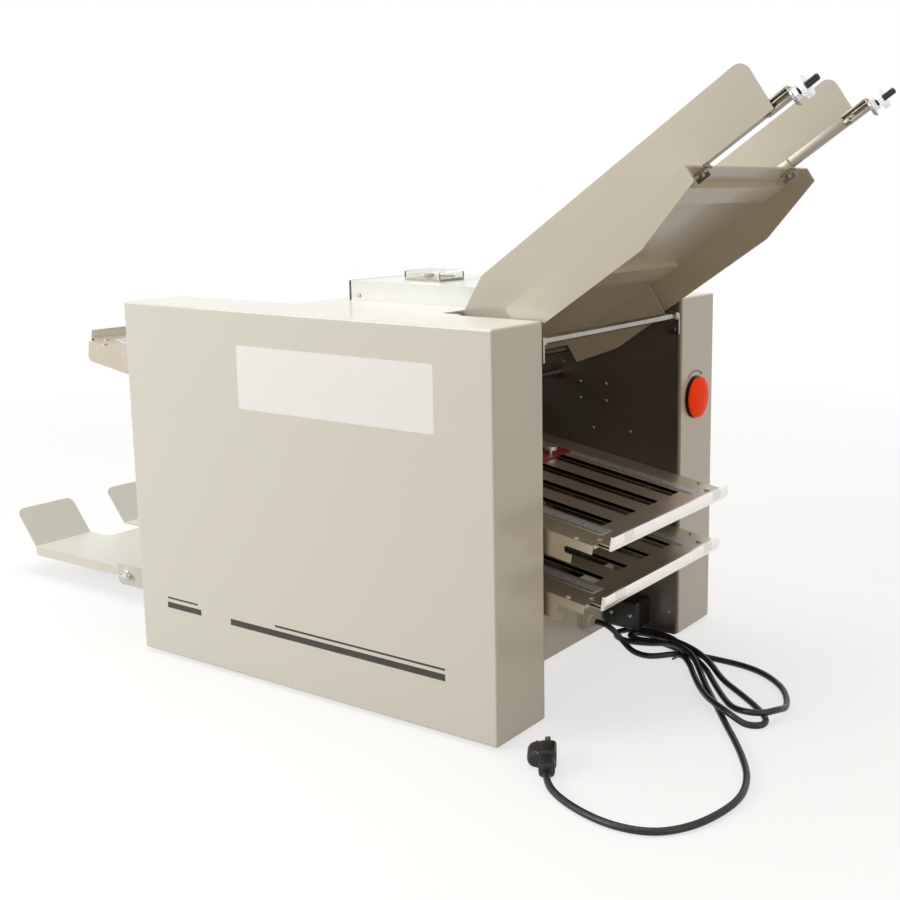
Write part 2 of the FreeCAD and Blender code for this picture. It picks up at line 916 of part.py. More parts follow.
def make_pan():
    """The base pan between the frames, with the low panel that carries the cable gland."""
    x0 = left_x + pan_end_setback
    x1 = right_x - pan_setback
    floor = box(x0, x1, -frame_y, frame_y, base_z, base_z + pan_sheet)
    panel = box(x1 - pan_sheet, x1, -frame_y, frame_y, base_z, base_z + pan_panel_height)
    far = box(x0, x1, frame_y - pan_sheet, frame_y, base_z, base_z + pan_flange_height)
    shell = joined([floor, panel, far, across(far, -1)])
    centre = gland_centre()
    hole = Part.makeCylinder(gland_barrel_radius, pan_sheet + 2 * overrun,
                             centre - X_AXIS * (pan_sheet + overrun), X_AXIS)
    save("base_pan", cut(shell, [hole]))


def make_gland():
    """The cord's strain relief: barrel and nut behind the panel, boss, cap and nose in front."""
    centre = gland_centre()
    back = gland_barrel_length
    barrel = Part.makeCylinder(gland_barrel_radius, back, centre - X_AXIS * back, X_AXIS)
    boss = Part.makeCylinder(gland_boss_radius, gland_boss_length, centre, X_AXIS)
    cap_start = centre + X_AXIS * gland_boss_length
    cap = Part.makeCone(gland_cap_radius, gland_nose_radius, gland_cap_length, cap_start, X_AXIS)
    nose_start = cap_start + X_AXIS * gland_cap_length
    nose = Part.makeCylinder(gland_nose_radius, gland_nose_length, nose_start, X_AXIS)
    body = joined([barrel, boss, cap, nose])
    nut_start = centre - X_AXIS * (pan_sheet + gland_nut_length)
    nut = Part.makeCylinder(gland_nut_radius, gland_nut_length, nut_start, X_AXIS)
    nut = cut(nut, [Part.makeCylinder(gland_barrel_radius, gland_nut_length, nut_start, X_AXIS)])
    save("cable_gland", body, nut)


def make_deck():
    """The flat top sheet between the covers, resting on the frames' top edges, with two ledges."""
    x0 = right_x - deck_left_setback
    x1 = right_x - deck_right_setback
    sheet = box(x0, x1, -half_gap, half_gap, cover_top - deck_sheet, cover_top)
    width = frame_y - deck_play
    flange = box(x0, x0 + deck_sheet, -width, width, cover_top - deck_flange, cover_top)
    ledge = box(x1 - overrun, x1 + deck_ledge_length, half_gap - deck_ledge_width, half_gap,
                cover_top - deck_sheet, cover_top)
    save("top_deck", joined([sheet, flange, ledge, across(ledge, -1)]))


# Control box, switch panel and guard

def control_top():
    return cover_top + control_height


def control_screw_places():
    """Two screws low on each long side, near the black end."""
    x = right_x - control_left_setback + control_screw_inset
    return [Vector(x, side * control_half_width, cover_top + control_screw_height) for side in (-1, 1)]


def make_control_box():
    """A shallow sheet cover on the deck, open below, with side screws."""
    x0 = right_x - control_left_setback
    x1 = right_x - deck_right_setback
    half = control_half_width
    case = box(x0, x1, -half, half, cover_top, control_top())
    wall = control_sheet
    cavity = box(x0 + wall, x1 - wall, -half + wall, half - wall, cover_top - overrun, control_top() - wall)
    shell = cut(case, [cavity, start_bore()])
    screws = []
    for place in control_screw_places():
        outward = Y_AXIS if place.y > 0 else -Y_AXIS
        screws.append(Part.makeCylinder(control_screw_radius, control_screw_head, place, outward))
    save("control_box", shell, *screws)
    end = box(x0 - control_end_thickness, x0, -half, half, cover_top, control_top())
    save("control_box_end", end)


def guard_corner():
    """The near left corner of the guard on the control box."""
    return Vector(right_x - guard_left_setback, guard_near_y, control_top())


def guard_hinge():
    """A point on the guard's hinge axis, beyond its far edge."""
    corner = guard_corner()
    y = corner.y + guard_width + guard_knuckle_radius + guard_gap
    return Vector(corner.x, y, corner.z + guard_base_height)


def start_place():
    """The start button's centre on the control box's top."""
    corner = guard_corner()
    return Vector(corner.x + guard_length / 2, corner.y + guard_width * start_share, corner.z)


def start_bore():
    """The hole for the start button's stem, through the panel and the box's top."""
    depth = control_sheet + guard_base_height + 2 * overrun
    foot = start_place() - Z_AXIS * (control_sheet + overrun)
    return Part.makeCylinder(start_stem_radius + start_play, depth, foot, Z_AXIS)


def make_switch_panel():
    """The grey panel under the guard, with two lugs and the hinge pin."""
    corner = guard_corner()
    x0, y0, z0 = corner.x, corner.y, corner.z
    base = box(x0, x0 + guard_length, y0, y0 + guard_width, z0, z0 + guard_base_height)
    hinge = guard_hinge()
    lugs = []
    middle = x0 + guard_length / 2
    reach = guard_knuckle_length / 2 + guard_gap
    for start in (middle - reach - guard_lug_length, middle + reach):
        barrel = Part.makeCylinder(guard_knuckle_radius, guard_lug_length,
                                   Vector(start, hinge.y, hinge.z), X_AXIS)
        web = box(start, start + guard_lug_length, y0 + guard_width - overrun, hinge.y,
                  z0, z0 + guard_base_height)
        lugs += [barrel, web]
    pin_length = 2 * (reach + guard_lug_length)
    pin_start = Vector(middle - pin_length / 2, hinge.y, hinge.z)
    pin = Part.makeCylinder(guard_pin_radius, pin_length, pin_start, X_AXIS)
    save("switch_panel", cut(joined([base, *lugs, pin]), [start_bore()]))


def make_guard():
    """A clear cap over the switches, open below, with one hinge knuckle."""
    corner = guard_corner()
    x0, y0 = corner.x, corner.y
    z0 = corner.z + guard_base_height + guard_gap
    cap = box(x0, x0 + guard_length, y0, y0 + guard_width, z0, z0 + guard_height)
    inner = box(x0 + guard_wall, x0 + guard_length - guard_wall,
                y0 + guard_wall, y0 + guard_width - guard_wall,
                z0 - overrun, z0 + guard_height - guard_wall)
    hinge = guard_hinge()
    start = x0 + (guard_length - guard_knuckle_length) / 2
    barrel = Part.makeCylinder(guard_knuckle_radius, guard_knuckle_length,
                               Vector(start, hinge.y, hinge.z), X_AXIS)
    web = box(start, start + guard_knuckle_length, y0 + guard_width - guard_wall, hinge.y,
              z0, hinge.z + guard_knuckle_radius)
    bore = Part.makeCylinder(guard_pin_radius + guard_pin_play, guard_knuckle_length + 2 * overrun,
                             Vector(start - overrun, hinge.y, hinge.z), X_AXIS)
    shell = cut(cap, [inner])
    save("button_guard", cut(joined([shell, barrel, web]), [bore]))
    place = start_place() + Z_AXIS * guard_base_height
    head = Part.makeCylinder(start_button_radius, start_button_height,
                             place + Z_AXIS * start_travel_gap, Z_AXIS)
    stem_foot = place - Z_AXIS * (start_stem_length - start_travel_gap)
    stem = Part.makeCylinder(start_stem_radius, start_stem_length, stem_foot, Z_AXIS)
    save("start_button", joined([head, stem]))


# Feed table, rods and side guides

def make_table():
    """The sloping feed table: a wide folded sheet and a narrower tongue between the frames."""
    wide = frame_y - table_side_play
    edge = -table_wide_length
    foot = -table_length
    sheets = [block(table, edge, 0, -table_sheet, 0, -wide, wide)]
    sheets.append(block(table, foot, edge, -table_sheet, 0, -tongue_half_width, tongue_half_width))
    flange = slab(table, [(0, 0), (0, -table_end_flange), (-table_kink, -table_flange),
                          (edge, -table_low_flange), (edge, 0)], wide - table_sheet, wide)
    start = edge + tongue_overlap
    bend = start + (foot - start) * tongue_bend_share
    lower = slab(table, [(start, 0), (start, -tongue_flange), (bend, -tongue_flange, tongue_radius),
                         (foot, -tongue_end_flange), (foot, 0)],
                 tongue_half_width - table_sheet, tongue_half_width)
    for piece in (flange, lower):
        sheets += [piece, across(piece, -1)]
    bars = []
    for share in table_bar_places_shares:
        start = -table_length * share
        outer = block(table, start - table_bar_width, start, -table_sheet - table_bar_depth, -table_sheet,
                      -table_bar_half_length, table_bar_half_length)
        inner = block(table, start - table_bar_width + table_bar_sheet, start - table_bar_sheet,
                      -table_sheet - table_bar_depth + table_bar_sheet, -table_sheet,
                      -table_bar_half_length - overrun, table_bar_half_length + overrun)
        bars.append(cut(outer, [inner]))
    save("feed_table", joined(sheets), *bars)


def table_rod_place():
    """The bright rod's centre, near the frames' feed end and below the table."""
    return Vector(right_x - table_rod_setback, 0, base_z + table_rod_rise)


def make_tie_rods():
    """The bright rod below the table in its holders, the table's studs, the idler, and two spacers."""
    place = table_rod_place()
    rod = round_at(place, table_rod_radius, -frame_y, frame_y)
    holders = []
    tab = box(place.x - holder_radius, place.x + holder_radius, frame_y - holder_tab, frame_y,
              place.z - holder_tab_reach, place.z)
    sleeve = round_at(place, holder_radius, frame_y - holder_length, frame_y)
    bore = round_at(place, table_rod_radius, frame_y - holder_length - overrun, frame_y + overrun)
    holder = cut(joined([tab, sleeve]), [bore])
    screw = round_at(place - Z_AXIS * holder_screw_reach, frame_screw_head_radius,
                     frame_y - holder_tab - frame_screw_head_height, frame_y - holder_tab)
    for piece in (holder, screw):
        holders += [piece, across(piece, -1)]
    idler_a = -table_length - idler_gap - idler_radius
    idler = rod_y(table, idler_a, -idler_radius, idler_radius, -frame_y, frame_y)
    nut = polygon_y(table, idler_a, -idler_radius, 2 * idler_nut_radius,
                    frame_y - idler_nut_length, frame_y)
    nut = cut(nut, [rod_y(table, idler_a, -idler_radius, idler_radius,
                          frame_y - idler_nut_length - overrun, frame_y + overrun)])
    spacers = []
    for back, up in spacer_rod_shares:
        centre = Vector(right_x - back * cover_length, 0, base_z + up * cover_height)
        spacers.append(round_at(centre, spacer_rod_radius, -frame_y, frame_y))
    stud = rod_y(table, table_stud_inset - table_wide_length,
                 -table_low_flange - table_stud_gap - table_stud_radius, table_stud_radius,
                 frame_y - table_stud_length, frame_y)
    save("tie_rods", rod, *holders, stud, across(stud, -1), idler, nut, across(nut, -1), *spacers)


def make_guides():
    """Two sliding side guides: a tall fin, a square arm with its clip and end block, and a stud."""
    tail = guide_fin_tail_inset - table_length
    fin = slab(table, [(tail, guide_gap), (guide_fin_reach, guide_gap),
                       (guide_fin_reach, guide_fin_height, guide_fin_corner),
                       (tail + guide_fin_taper, guide_fin_height), (tail, guide_fin_tail_height)],
               guide_fin_y, guide_fin_y + guide_fin_sheet)
    arm_y0 = guide_fin_y - guide_arm
    arm_top = guide_gap + guide_arm
    arm = block(table, -guide_arm_start, guide_block_start, guide_gap, arm_top, arm_y0, guide_fin_y)
    block_end = guide_block_start + guide_block_length
    centre_y = guide_fin_y - guide_arm / 2
    half = guide_block_width / 2
    end_block = block(table, guide_block_start, block_end, guide_gap - guide_block_drop,
                      arm_top + guide_block_drop, centre_y - half, guide_fin_y)
    clip_y0 = centre_y - guide_clip_width / 2
    clip_y1 = guide_fin_y
    lip_top = -table_sheet - guide_gap
    clip = block(table, guide_gap, guide_gap + guide_clip_sheet, -guide_clip_depth, arm_top,
                 clip_y0, clip_y1)
    lip = block(table, -guide_clip_reach, guide_gap + guide_clip_sheet, lip_top - guide_clip_sheet, lip_top,
                clip_y0, clip_y1)
    end_plate = block(table, block_end - guide_end_plate, block_end, -guide_end_plate_drop,
                      arm_top + guide_block_drop, centre_y - half, guide_fin_y)
    centre_b = guide_stud_rise
    washer = rod_along(table, block_end, block_end + guide_washer_thickness, centre_b, centre_y,
                       guide_washer_radius)
    hex_start = block_end + guide_washer_thickness
    hex_nut = hex_along(table, hex_start, hex_start + guide_hex_length, centre_b, centre_y,
                        guide_hex_across)
    stud = rod_along(table, block_end, block_end + guide_stud_length, centre_b, centre_y, guide_stud_radius)
    lock_y = centre_y
    hole = rod_up(table, -lock_inset, lock_y, lip_top - guide_clip_sheet - overrun, lip_top + guide_gap / 2,
                  lock_screw_radius + lock_screw_play)
    body = cut(joined([fin, arm, end_block, end_plate, clip, lip, washer, hex_nut, stud]), [hole])
    nut_start = block_end + guide_nut_start
    disc = knurled(table.at(nut_start, centre_b, centre_y), table.along, guide_nut_radius, guide_nut_length)
    disc = cut(disc, [rod_along(table, nut_start - overrun, nut_start + guide_nut_length + overrun,
                                centre_b, centre_y, guide_stud_radius + guide_nut_play)])
    head_top = lip_top - guide_clip_sheet - lock_neck
    shank = rod_up(table, -lock_inset, lock_y, head_top, lip_top, lock_screw_radius)
    head = rod_up(table, -lock_inset, lock_y, head_top - lock_head_height, head_top, lock_head_radius)
    wing = block(table, -lock_inset - lock_wing_span / 2, -lock_inset + lock_wing_span / 2,
                 head_top - lock_wing_height, head_top - lock_neck,
                 lock_y - lock_wing_thickness / 2, lock_y + lock_wing_thickness / 2)
    lock = joined([shank, head, wing])
    for name, side in (("near", -1), ("far", 1)):
        save(name + "_side_guide", across(body, side))
        save(name + "_guide_nut", across(disc, side))
        save(name + "_guide_lock_screw", across(lock, side))


# Fold plates, their paper stops and the studs that carry them

def plate_half():
    return frame_y - plate_side_play


def slot_centres():
    return [slot_spacing * (k - 1.5) for k in range(4)]


def plate_sheet_shape(slope, level_b, length, b_top, thickness, half, slot_step):
    """One flat sheet of a plate, with its narrower inner tongue and outer neck and its four slots."""
    b1 = level_b + b_top
    b0 = b1 - thickness
    body = block(slope, plate_wide_start, length, b0, b1, -half, half)
    tongue = block(slope, plate_start, plate_wide_start, b0, b1, -plate_tongue_half, plate_tongue_half)
    neck = block(slope, length, length + plate_neck, b0, b1, -bar_half_length, bar_half_length)
    slots = []
    for y in slot_centres():
        slots.append(block(slope, slot_start + slot_step, length - slot_end_margin - slot_step,
                           b0 - overrun, b1 + overrun,
                           y - slot_width / 2 + slot_step, y + slot_width / 2 - slot_step))
    return cut(joined([body, tongue, neck]), slots)


def hooked_flange(slope, level_b, length):
    """A side flange whose outer end is cut to an open hook slot, level with the sheet."""
    closed = length - hook_closed
    arm = length - hook_arm_end
    b = level_b
    slot_top = b - plate_end_flange
    slot_low = slot_top - hook_slot
    return [(plate_wide_start, b), (length, b), (length, slot_top), (closed, slot_top, hook_round),
            (closed, slot_low, hook_round), (arm, slot_low), (arm, b - plate_flange),
            (plate_wide_start, b - plate_flange)]


def plain_flange(slope, level_b, length):
    """A side flange of full depth with a rounded outer corner."""
    b = level_b
    return [(plate_wide_start, b), (length, b), (length, b - plate_flange, flange_corner),
            (plate_wide_start, b - plate_flange)]


def make_plate(node, slope, level_b, length, hooked):
    """A fold plate: two slotted sheets a paper's gap apart, rails, end bar, rulers and screws."""
    half = plate_half()
    upper = plate_sheet_shape(slope, level_b, length, 0, plate_sheet, half, 0)
    outline = hooked_flange if hooked else plain_flange
    flange = slab(slope, outline(slope, level_b, length), half - plate_sheet, half)
    upper = joined([upper, flange, across(flange, -1)])
    lower_top = -plate_sheet - plate_channel
    lower = plate_sheet_shape(slope, level_b, length, lower_top, plate_sheet, half - plate_lower_inset,
                              slot_lower_step)
    rails = []
    for side in (-1, 1):
        y0 = half - plate_lower_inset - rail_width
        rail = block(slope, rail_setback, length, level_b + lower_top, level_b - plate_sheet,
                     y0, half - plate_lower_inset)
        rails.append(across(rail, side))
    start = length + plate_neck
    end = start + bar_thickness
    low, high = level_b - bar_below, level_b + bar_above
    crown = end - bar_crown
    bar = slab(slope, [(start, low), (crown, low, bar_crown),
                       (end, (low + high) / 2, 2 * bar_thickness),
                       (crown, high, bar_crown), (start, high)], -bar_half_length, bar_half_length)
    rulers = []
    screws = []
    for side in (-1, 1):
        ruler = block(slope, ruler_start, length - ruler_end_margin, level_b, level_b + ruler_thickness,
                      ruler_y - ruler_width / 2, ruler_y + ruler_width / 2)
        rulers.append(across(ruler, side))
        for margin, y in ((plate_screw_outer_margin, plate_screw_outer_y),
                          (plate_screw_inner_margin, plate_screw_inner_y)):
            head = rod_up(slope, length - margin - plate_screw_radius, y,
                          level_b, level_b + plate_screw_head, plate_screw_radius)
            screws.append(across(head, side))
    save(node, upper, lower, *rails, bar, *rulers, *screws)


def make_stop(node, screw_node, slope, level_b, place):
    """A paper stop: a red top strip, four fingers through the slots and a strip below, with its screw."""
    top = level_b + ruler_thickness + stop_gap
    under = level_b - 2 * plate_sheet - plate_channel - stop_under_gap
    strip = block(slope, place - stop_length / 2, place + stop_length / 2, top, top + stop_sheet,
                  -stop_half_width, stop_half_width)
    finger_a = place - stop_length / 2 + stop_finger_margin
    clamp = block(slope, finger_a, finger_a + stop_under_length, under - stop_under_sheet, under,
                  -stop_half_width, stop_half_width)
    fingers = []
    for y in slot_centres():
        fingers.append(block(slope, finger_a, finger_a + stop_finger_thickness,
                             under - stop_under_sheet / 2, top + stop_sheet / 2,
                             y - stop_finger_width / 2, y + stop_finger_width / 2))
    screw_a = finger_a + stop_screw_inset - stop_finger_margin
    screw_y = slot_centres()[-1]
    bore = rod_up(slope, screw_a, screw_y, under - stop_under_sheet - overrun, top + stop_sheet + overrun,
                  stop_screw_radius + stop_screw_play)
    save(node, cut(joined([strip, clamp, *fingers]), [bore]))
    neck_foot = top + stop_sheet
    shank = rod_up(slope, screw_a, screw_y, under - stop_under_sheet, neck_foot + stop_gap,
                   stop_screw_radius)
    neck = rod_up(slope, screw_a, screw_y, neck_foot + stop_gap, neck_foot + stop_neck_length,
                  stop_neck_radius)
    head = knurled(slope.at(screw_a, neck_foot + stop_neck_length, screw_y), slope.up,
                   stop_head_radius, stop_head_length)
    save(screw_node, joined([shank, neck, head]))


def plate_table():
    """Name, slope, level, length, hooked flange and stop place of each of the four plates."""
    return [
        ("left_upper", left_fold, nip_pitch, left_upper_length, False, stop_left_place),
        ("right_upper", right_fold, 0, plate_length, True, stop_place),
        ("left_lower", left_fold, -nip_pitch, plate_length, False, stop_place),
        ("right_lower", right_fold, -2 * nip_pitch, plate_length, True, stop_place),
    ]


def make_plates():
    """Four plates with their stops, and the studs in the frames under their flanges."""
    studs = []
    for name, slope, level_b, length, hooked, place in plate_table():
        make_plate(name + "_fold_plate", slope, level_b, length, hooked)
        make_stop(name + "_paper_stop", name + "_stop_screw", slope, level_b, place)
        b = level_b - plate_flange - plate_stud_radius - plate_stud_gap
        for share in plate_stud_shares:
            stud = rod_y(slope, plate_length * share, b, plate_stud_radius,
                         frame_y - plate_stud_length, frame_y)
            studs += [stud, across(stud, -1)]
    save("plate_studs", *studs)


# Exit chute, tray and brackets

def make_chute():
    """The sloping sheet that lowers the folded paper to the exit roller, and the deflector above it."""
    def sheet(x0, z0, x1, z1, y):
        run = Vector(x1 - x0, 0, z1 - z0).normalize()
        drop = Vector(-run.z, 0, run.x) * chute_sheet
        corners = [(x0, z0), (x1, z1), (x1 + drop.x, z1 + drop.z), (x0 + drop.x, z0 + drop.z)]
        return slab(level, corners, -y, y)
    x0 = right_x - chute_start_setback
    z0 = base_z + chute_start_rise
    x1 = right_x - chute_end_setback
    z1 = base_z + chute_end_rise
    ramp = sheet(x0, z0, x1, z1, frame_y)
    lip = sheet(x0, z0, x0, z0 - chute_lip, frame_y)
    deflector = sheet(right_x - deflector_start_setback, base_z + deflector_start_rise,
                      right_x - deflector_end_setback, base_z + deflector_end_rise, frame_y)
    save("exit_chute", joined([ramp, lip]), deflector)


def make_tray():
    """The level exit tray with side flanges and two leaning ears at its outer end."""
    x_in = left_x + (cover_length - tray_inner_setback)
    x_out = left_x - tray_outer_reach
    z = base_z + tray_rise
    half = tray_half_width
    floor = box(x_out, x_in, -half, half, z - tray_sheet, z)
    recess = box(x_out - overrun, x_out + ear_recess, -tongue_inner_y, tongue_inner_y,
                 z - tray_sheet - overrun, z + overrun)
    corner_edges = []
    for edge in recess.Edges:
        inner = all(abs(vertex.X - x_out - ear_recess) < tray_sheet for vertex in edge.Vertexes)
        upright = abs(edge.tangentAt(edge.FirstParameter).z) > 0.5
        if inner and upright:
            corner_edges.append(edge)
    recess = recess.makeFillet(recess_corner, corner_edges)
    flange = box(x_out, x_in, half - tray_sheet, half, z - tray_flange, z)
    length = math.hypot(ear_lean, ear_rise)
    lean = Vector(-ear_lean, 0, ear_rise) * (1 / length)
    square = Vector(ear_rise, 0, ear_lean) * (1 / length)
    points = [(tongue_inner_y, 0), (half, 0), (half, length, ear_corner),
              (tongue_inner_y, length, ear_corner)]
    ear_plane = Slope(x_out, z - tray_sheet, Y_AXIS, lean)
    ear = rounded_outline(points, ear_plane).extrude(square * tray_sheet)
    ears = [ear, across(ear, -1)]
    save("exit_tray", joined([cut(floor, [recess]), flange, across(flange, -1), *ears]))


def bracket_plane_y():
    return tray_half_width + bracket_gap


def make_brackets():
    """Two angle brackets on the base pan that carry the tray by its flanges."""
    y0 = bracket_plane_y()
    y1 = y0 + bracket_sheet
    x_out = left_x - bracket_reach
    x_pan = left_x + pan_end_setback + overrun
    x_in = left_x + (cover_length - bracket_inner_setback)
    low = base_z + bracket_bottom
    pan_top = base_z + pan_sheet
    high = base_z + tray_rise + bracket_top_gap
    side = slab(level, [(x_out, low, bracket_corner), (x_pan, low), (x_pan, pan_top), (x_in, pan_top),
                        (x_in, high), (x_out, high)], y0, y1)
    foot = box(x_in - bracket_foot_length, x_in, y0, y0 + bracket_foot, pan_top, pan_top + bracket_sheet)
    ledge_top = base_z + tray_rise - tray_flange - bracket_ledge_gap
    ledge = box(x_out + bracket_corner, x_in, y0 - bracket_ledge, y1, ledge_top - bracket_sheet, ledge_top)
    screw_x, screw_z = tray_screw_place()
    hole = Part.makeCylinder(tray_screw_radius + tray_screw_play, bracket_sheet + 2 * overrun,
                             Vector(screw_x, y0 - overrun, screw_z), Y_AXIS)
    bracket = cut(joined([side, foot, ledge]), [hole])
    save("tray_brackets", bracket, across(bracket, -1))


def tray_screw_place():
    return left_x - tray_screw_reach, base_z + tray_screw_rise


def make_tray_screws():
    """A wing screw through each bracket that clamps the tray's flange."""
    x, z = tray_screw_place()
    y0 = tray_half_width + tray_screw_tip_gap
    y1 = bracket_plane_y() + bracket_sheet + tray_washer_gap
    shank = round_at(Vector(x, 0, z), tray_screw_radius, y0, y1)
    washer = round_at(Vector(x, 0, z), tray_washer_radius, y1, y1 + tray_washer)
    hub = round_at(Vector(x, 0, z), tray_hub_radius, y1, y1 + tray_hub_length)
    wing = box(x - tray_wing_span / 2, x + tray_wing_span / 2,
               y1 + tray_washer, y1 + tray_washer + tray_wing_height,
               z - tray_wing_thickness / 2, z + tray_wing_thickness / 2)
    screw = joined([shank, washer, hub, wing])
    save("far_tray_screw", screw)
    save("near_tray_screw", across(screw, -1))


# Stop button, terminal cover, cord and plug

def along_x(x, radius, length):
    """A round bar on the stop button's axis, from x towards +X."""
    return Part.makeCylinder(radius, length, Vector(x, stop_button_y, base_z + stop_button_rise), X_AXIS)


def make_stop_button():
    """The mushroom stop button: ring and barrel in the cover, a sliding stem and a turning head."""
    ring = along_x(right_x, stop_ring_radius, stop_ring_thickness)
    barrel = along_x(right_x - stop_barrel_length, stop_barrel_radius, stop_barrel_length)
    bore = along_x(right_x - stop_stem_length, stop_stem_radius + stop_stem_play,
                   stop_stem_length + stop_ring_thickness + overrun)
    back_nut = along_x(right_x - cover_sheet - stop_back_nut, stop_back_nut_radius, stop_back_nut)
    back_nut = cut(back_nut, [along_x(right_x - cover_sheet - stop_back_nut, stop_barrel_radius,
                                      stop_back_nut)])
    save("stop_button_base", cut(joined([ring, barrel]), [bore]), back_nut)
    shoulder = right_x + stop_ring_thickness + stop_head_gap
    stem_start = right_x - stop_stem_length + stop_head_gap
    stem = along_x(stem_start, stop_stem_radius, shoulder - guide_gap - stem_start)
    pin = along_x(shoulder - overrun, stop_pin_radius, overrun + stop_socket_depth)
    save("stop_button_stem", joined([stem, pin]))
    head = along_x(shoulder, stop_mushroom_radius, stop_mushroom_thickness)
    dome = Part.makeSphere(stop_dome_radius,
                           Vector(shoulder + stop_mushroom_thickness - stop_dome_radius, stop_button_y,
                                  base_z + stop_button_rise))
    head = head.common(dome)
    socket = along_x(shoulder - overrun, stop_pin_radius + stop_stem_play,
                     overrun + stop_socket_depth + guide_gap)
    save("stop_button", cut(head, [socket]))


def make_terminal_cover():
    """A black moulded cover over the mains terminals on the far frame, with two screws."""
    x0 = right_x - terminal_setback
    x1 = x0 + terminal_length
    y0 = frame_y - terminal_depth
    z0 = base_z + terminal_bottom
    z1 = z0 + terminal_height
    case = box(x0, x1, y0, frame_y, z0, z1)
    edges = [edge for edge in case.Edges
             if min(vertex.Y for vertex in edge.Vertexes) < frame_y - terminal_round]
    case = case.makeFillet(terminal_round, edges)
    wall = terminal_wall
    cavity = box(x0 + wall, x1 - wall, y0 + wall, frame_y + overrun, z0 + wall, z1 - wall)
    screws = []
    for share in (terminal_screw_inset_share, 1 - terminal_screw_inset_share):
        place = Vector(x0 + terminal_length * share, 0, (z0 + z1) / 2)
        screws.append(round_at(place, terminal_screw_radius, y0 - terminal_screw_head, y0))
    save("terminal_cover", cut(case, [cavity]), *screws)


def gland_mouth():
    """Where the cord leaves the gland, on the floor below its centre."""
    reach = gland_boss_length + gland_cap_length + gland_nose_length
    return Vector(gland_centre().x + reach, gland_y, 0)


def cord_points():
    """The cord's corner points from the gland to the plug."""
    route = lead_route + front_loop_route + inner_fold_route
    route += back_loop_route + outer_fold_route + tail_route
    return [gland_mouth() + Vector(x, y, z) for x, y, z in route]


def cord_path(points):
    """Straight runs joined by tangent arcs, with the radius of each arc."""
    edges = []
    radii = []
    start = points[0]
    for before, corner, after in zip(points, points[1:], points[2:]):
        back = before - corner
        ahead = after - corner
        reach = bend_share * min(back.Length, ahead.Length)
        half_angle = back.getAngle(ahead) / 2
        radius = reach * math.tan(half_angle)
        back.normalize()
        ahead.normalize()
        bisector = (back + ahead).normalize()
        middle = corner + bisector * (radius / math.sin(half_angle) - radius)
        edges.append(Part.LineSegment(start, corner + back * reach).toShape())
        edges.append(Part.Arc(corner + back * reach, middle, corner + ahead * reach).toShape())
        radii.append(radius)
        start = corner + ahead * reach
    edges.append(Part.LineSegment(start, points[-1]).toShape())
    return Part.Wire(edges), radii


def least_gap(wire):
    """The smallest clear distance between parts of the cord that are well apart along it."""
    samples = wire.discretize(Distance=cord_sample)
    skip = int(cord_apart / cord_sample)
    least = None
    for i, here in enumerate(samples):
        for other in samples[i + skip:]:
            distance = here.distanceToPoint(other)
            if least is None or distance < least:
                least = distance
    return least - 2 * cord_radius


def make_cord():
    """The mains cord as one unbroken tube, laid in the hank and on to the plug."""
    points = cord_points()
    wire, radii = cord_path(points)
    profile = Part.Wire(Part.makeCircle(cord_radius, points[0], points[1] - points[0]))
    save("mains_cord", wire.makePipeShell([profile], True, False))
    print("cord arc radii", " ".join("%.0f" % radius for radius in radii))
    print("cord length", round(wire.Length), "least gap to itself", round(least_gap(wire), 2))


def make_tie():
    """A grey band round the bundle, with its short twisted end on the floor."""
    turn = math.radians(tie_heading)
    ahead = Vector(math.cos(turn), math.sin(turn), 0)
    left = Vector(-math.sin(turn), math.cos(turn), 0)
    foot = gland_mouth() + Vector(tie_x, tie_y, 0) - ahead * (tie_width / 2)
    places = [(tie_spread, tie_low), (tie_spread / 2, tie_low + tie_rise),
              (-tie_spread / 2, tie_low + tie_rise), (-tie_spread - tie_bulge, tie_low), (tie_spread, tie_low)]
    middle = Part.makePolygon([foot + left * a + Z_AXIS * b for a, b in places])
    inner = Part.Face(middle.makeOffset2D(cord_radius + tie_gap))
    outer = Part.Face(middle.makeOffset2D(cord_radius + tie_gap + tie_thickness))
    band = cut(outer.extrude(ahead * tie_width), [inner.extrude(ahead * tie_width)])
    edge = tie_spread + tie_bulge + cord_radius + tie_gap + tie_thickness
    end = foot + ahead * (tie_width / 2) - left * (edge - tie_thickness / 2) + Z_AXIS * tie_low
    tail = Part.makeCylinder(tie_tail_radius, tie_tail_length, end, left * -1)
    save("cord_tie", joined([band, tail]))


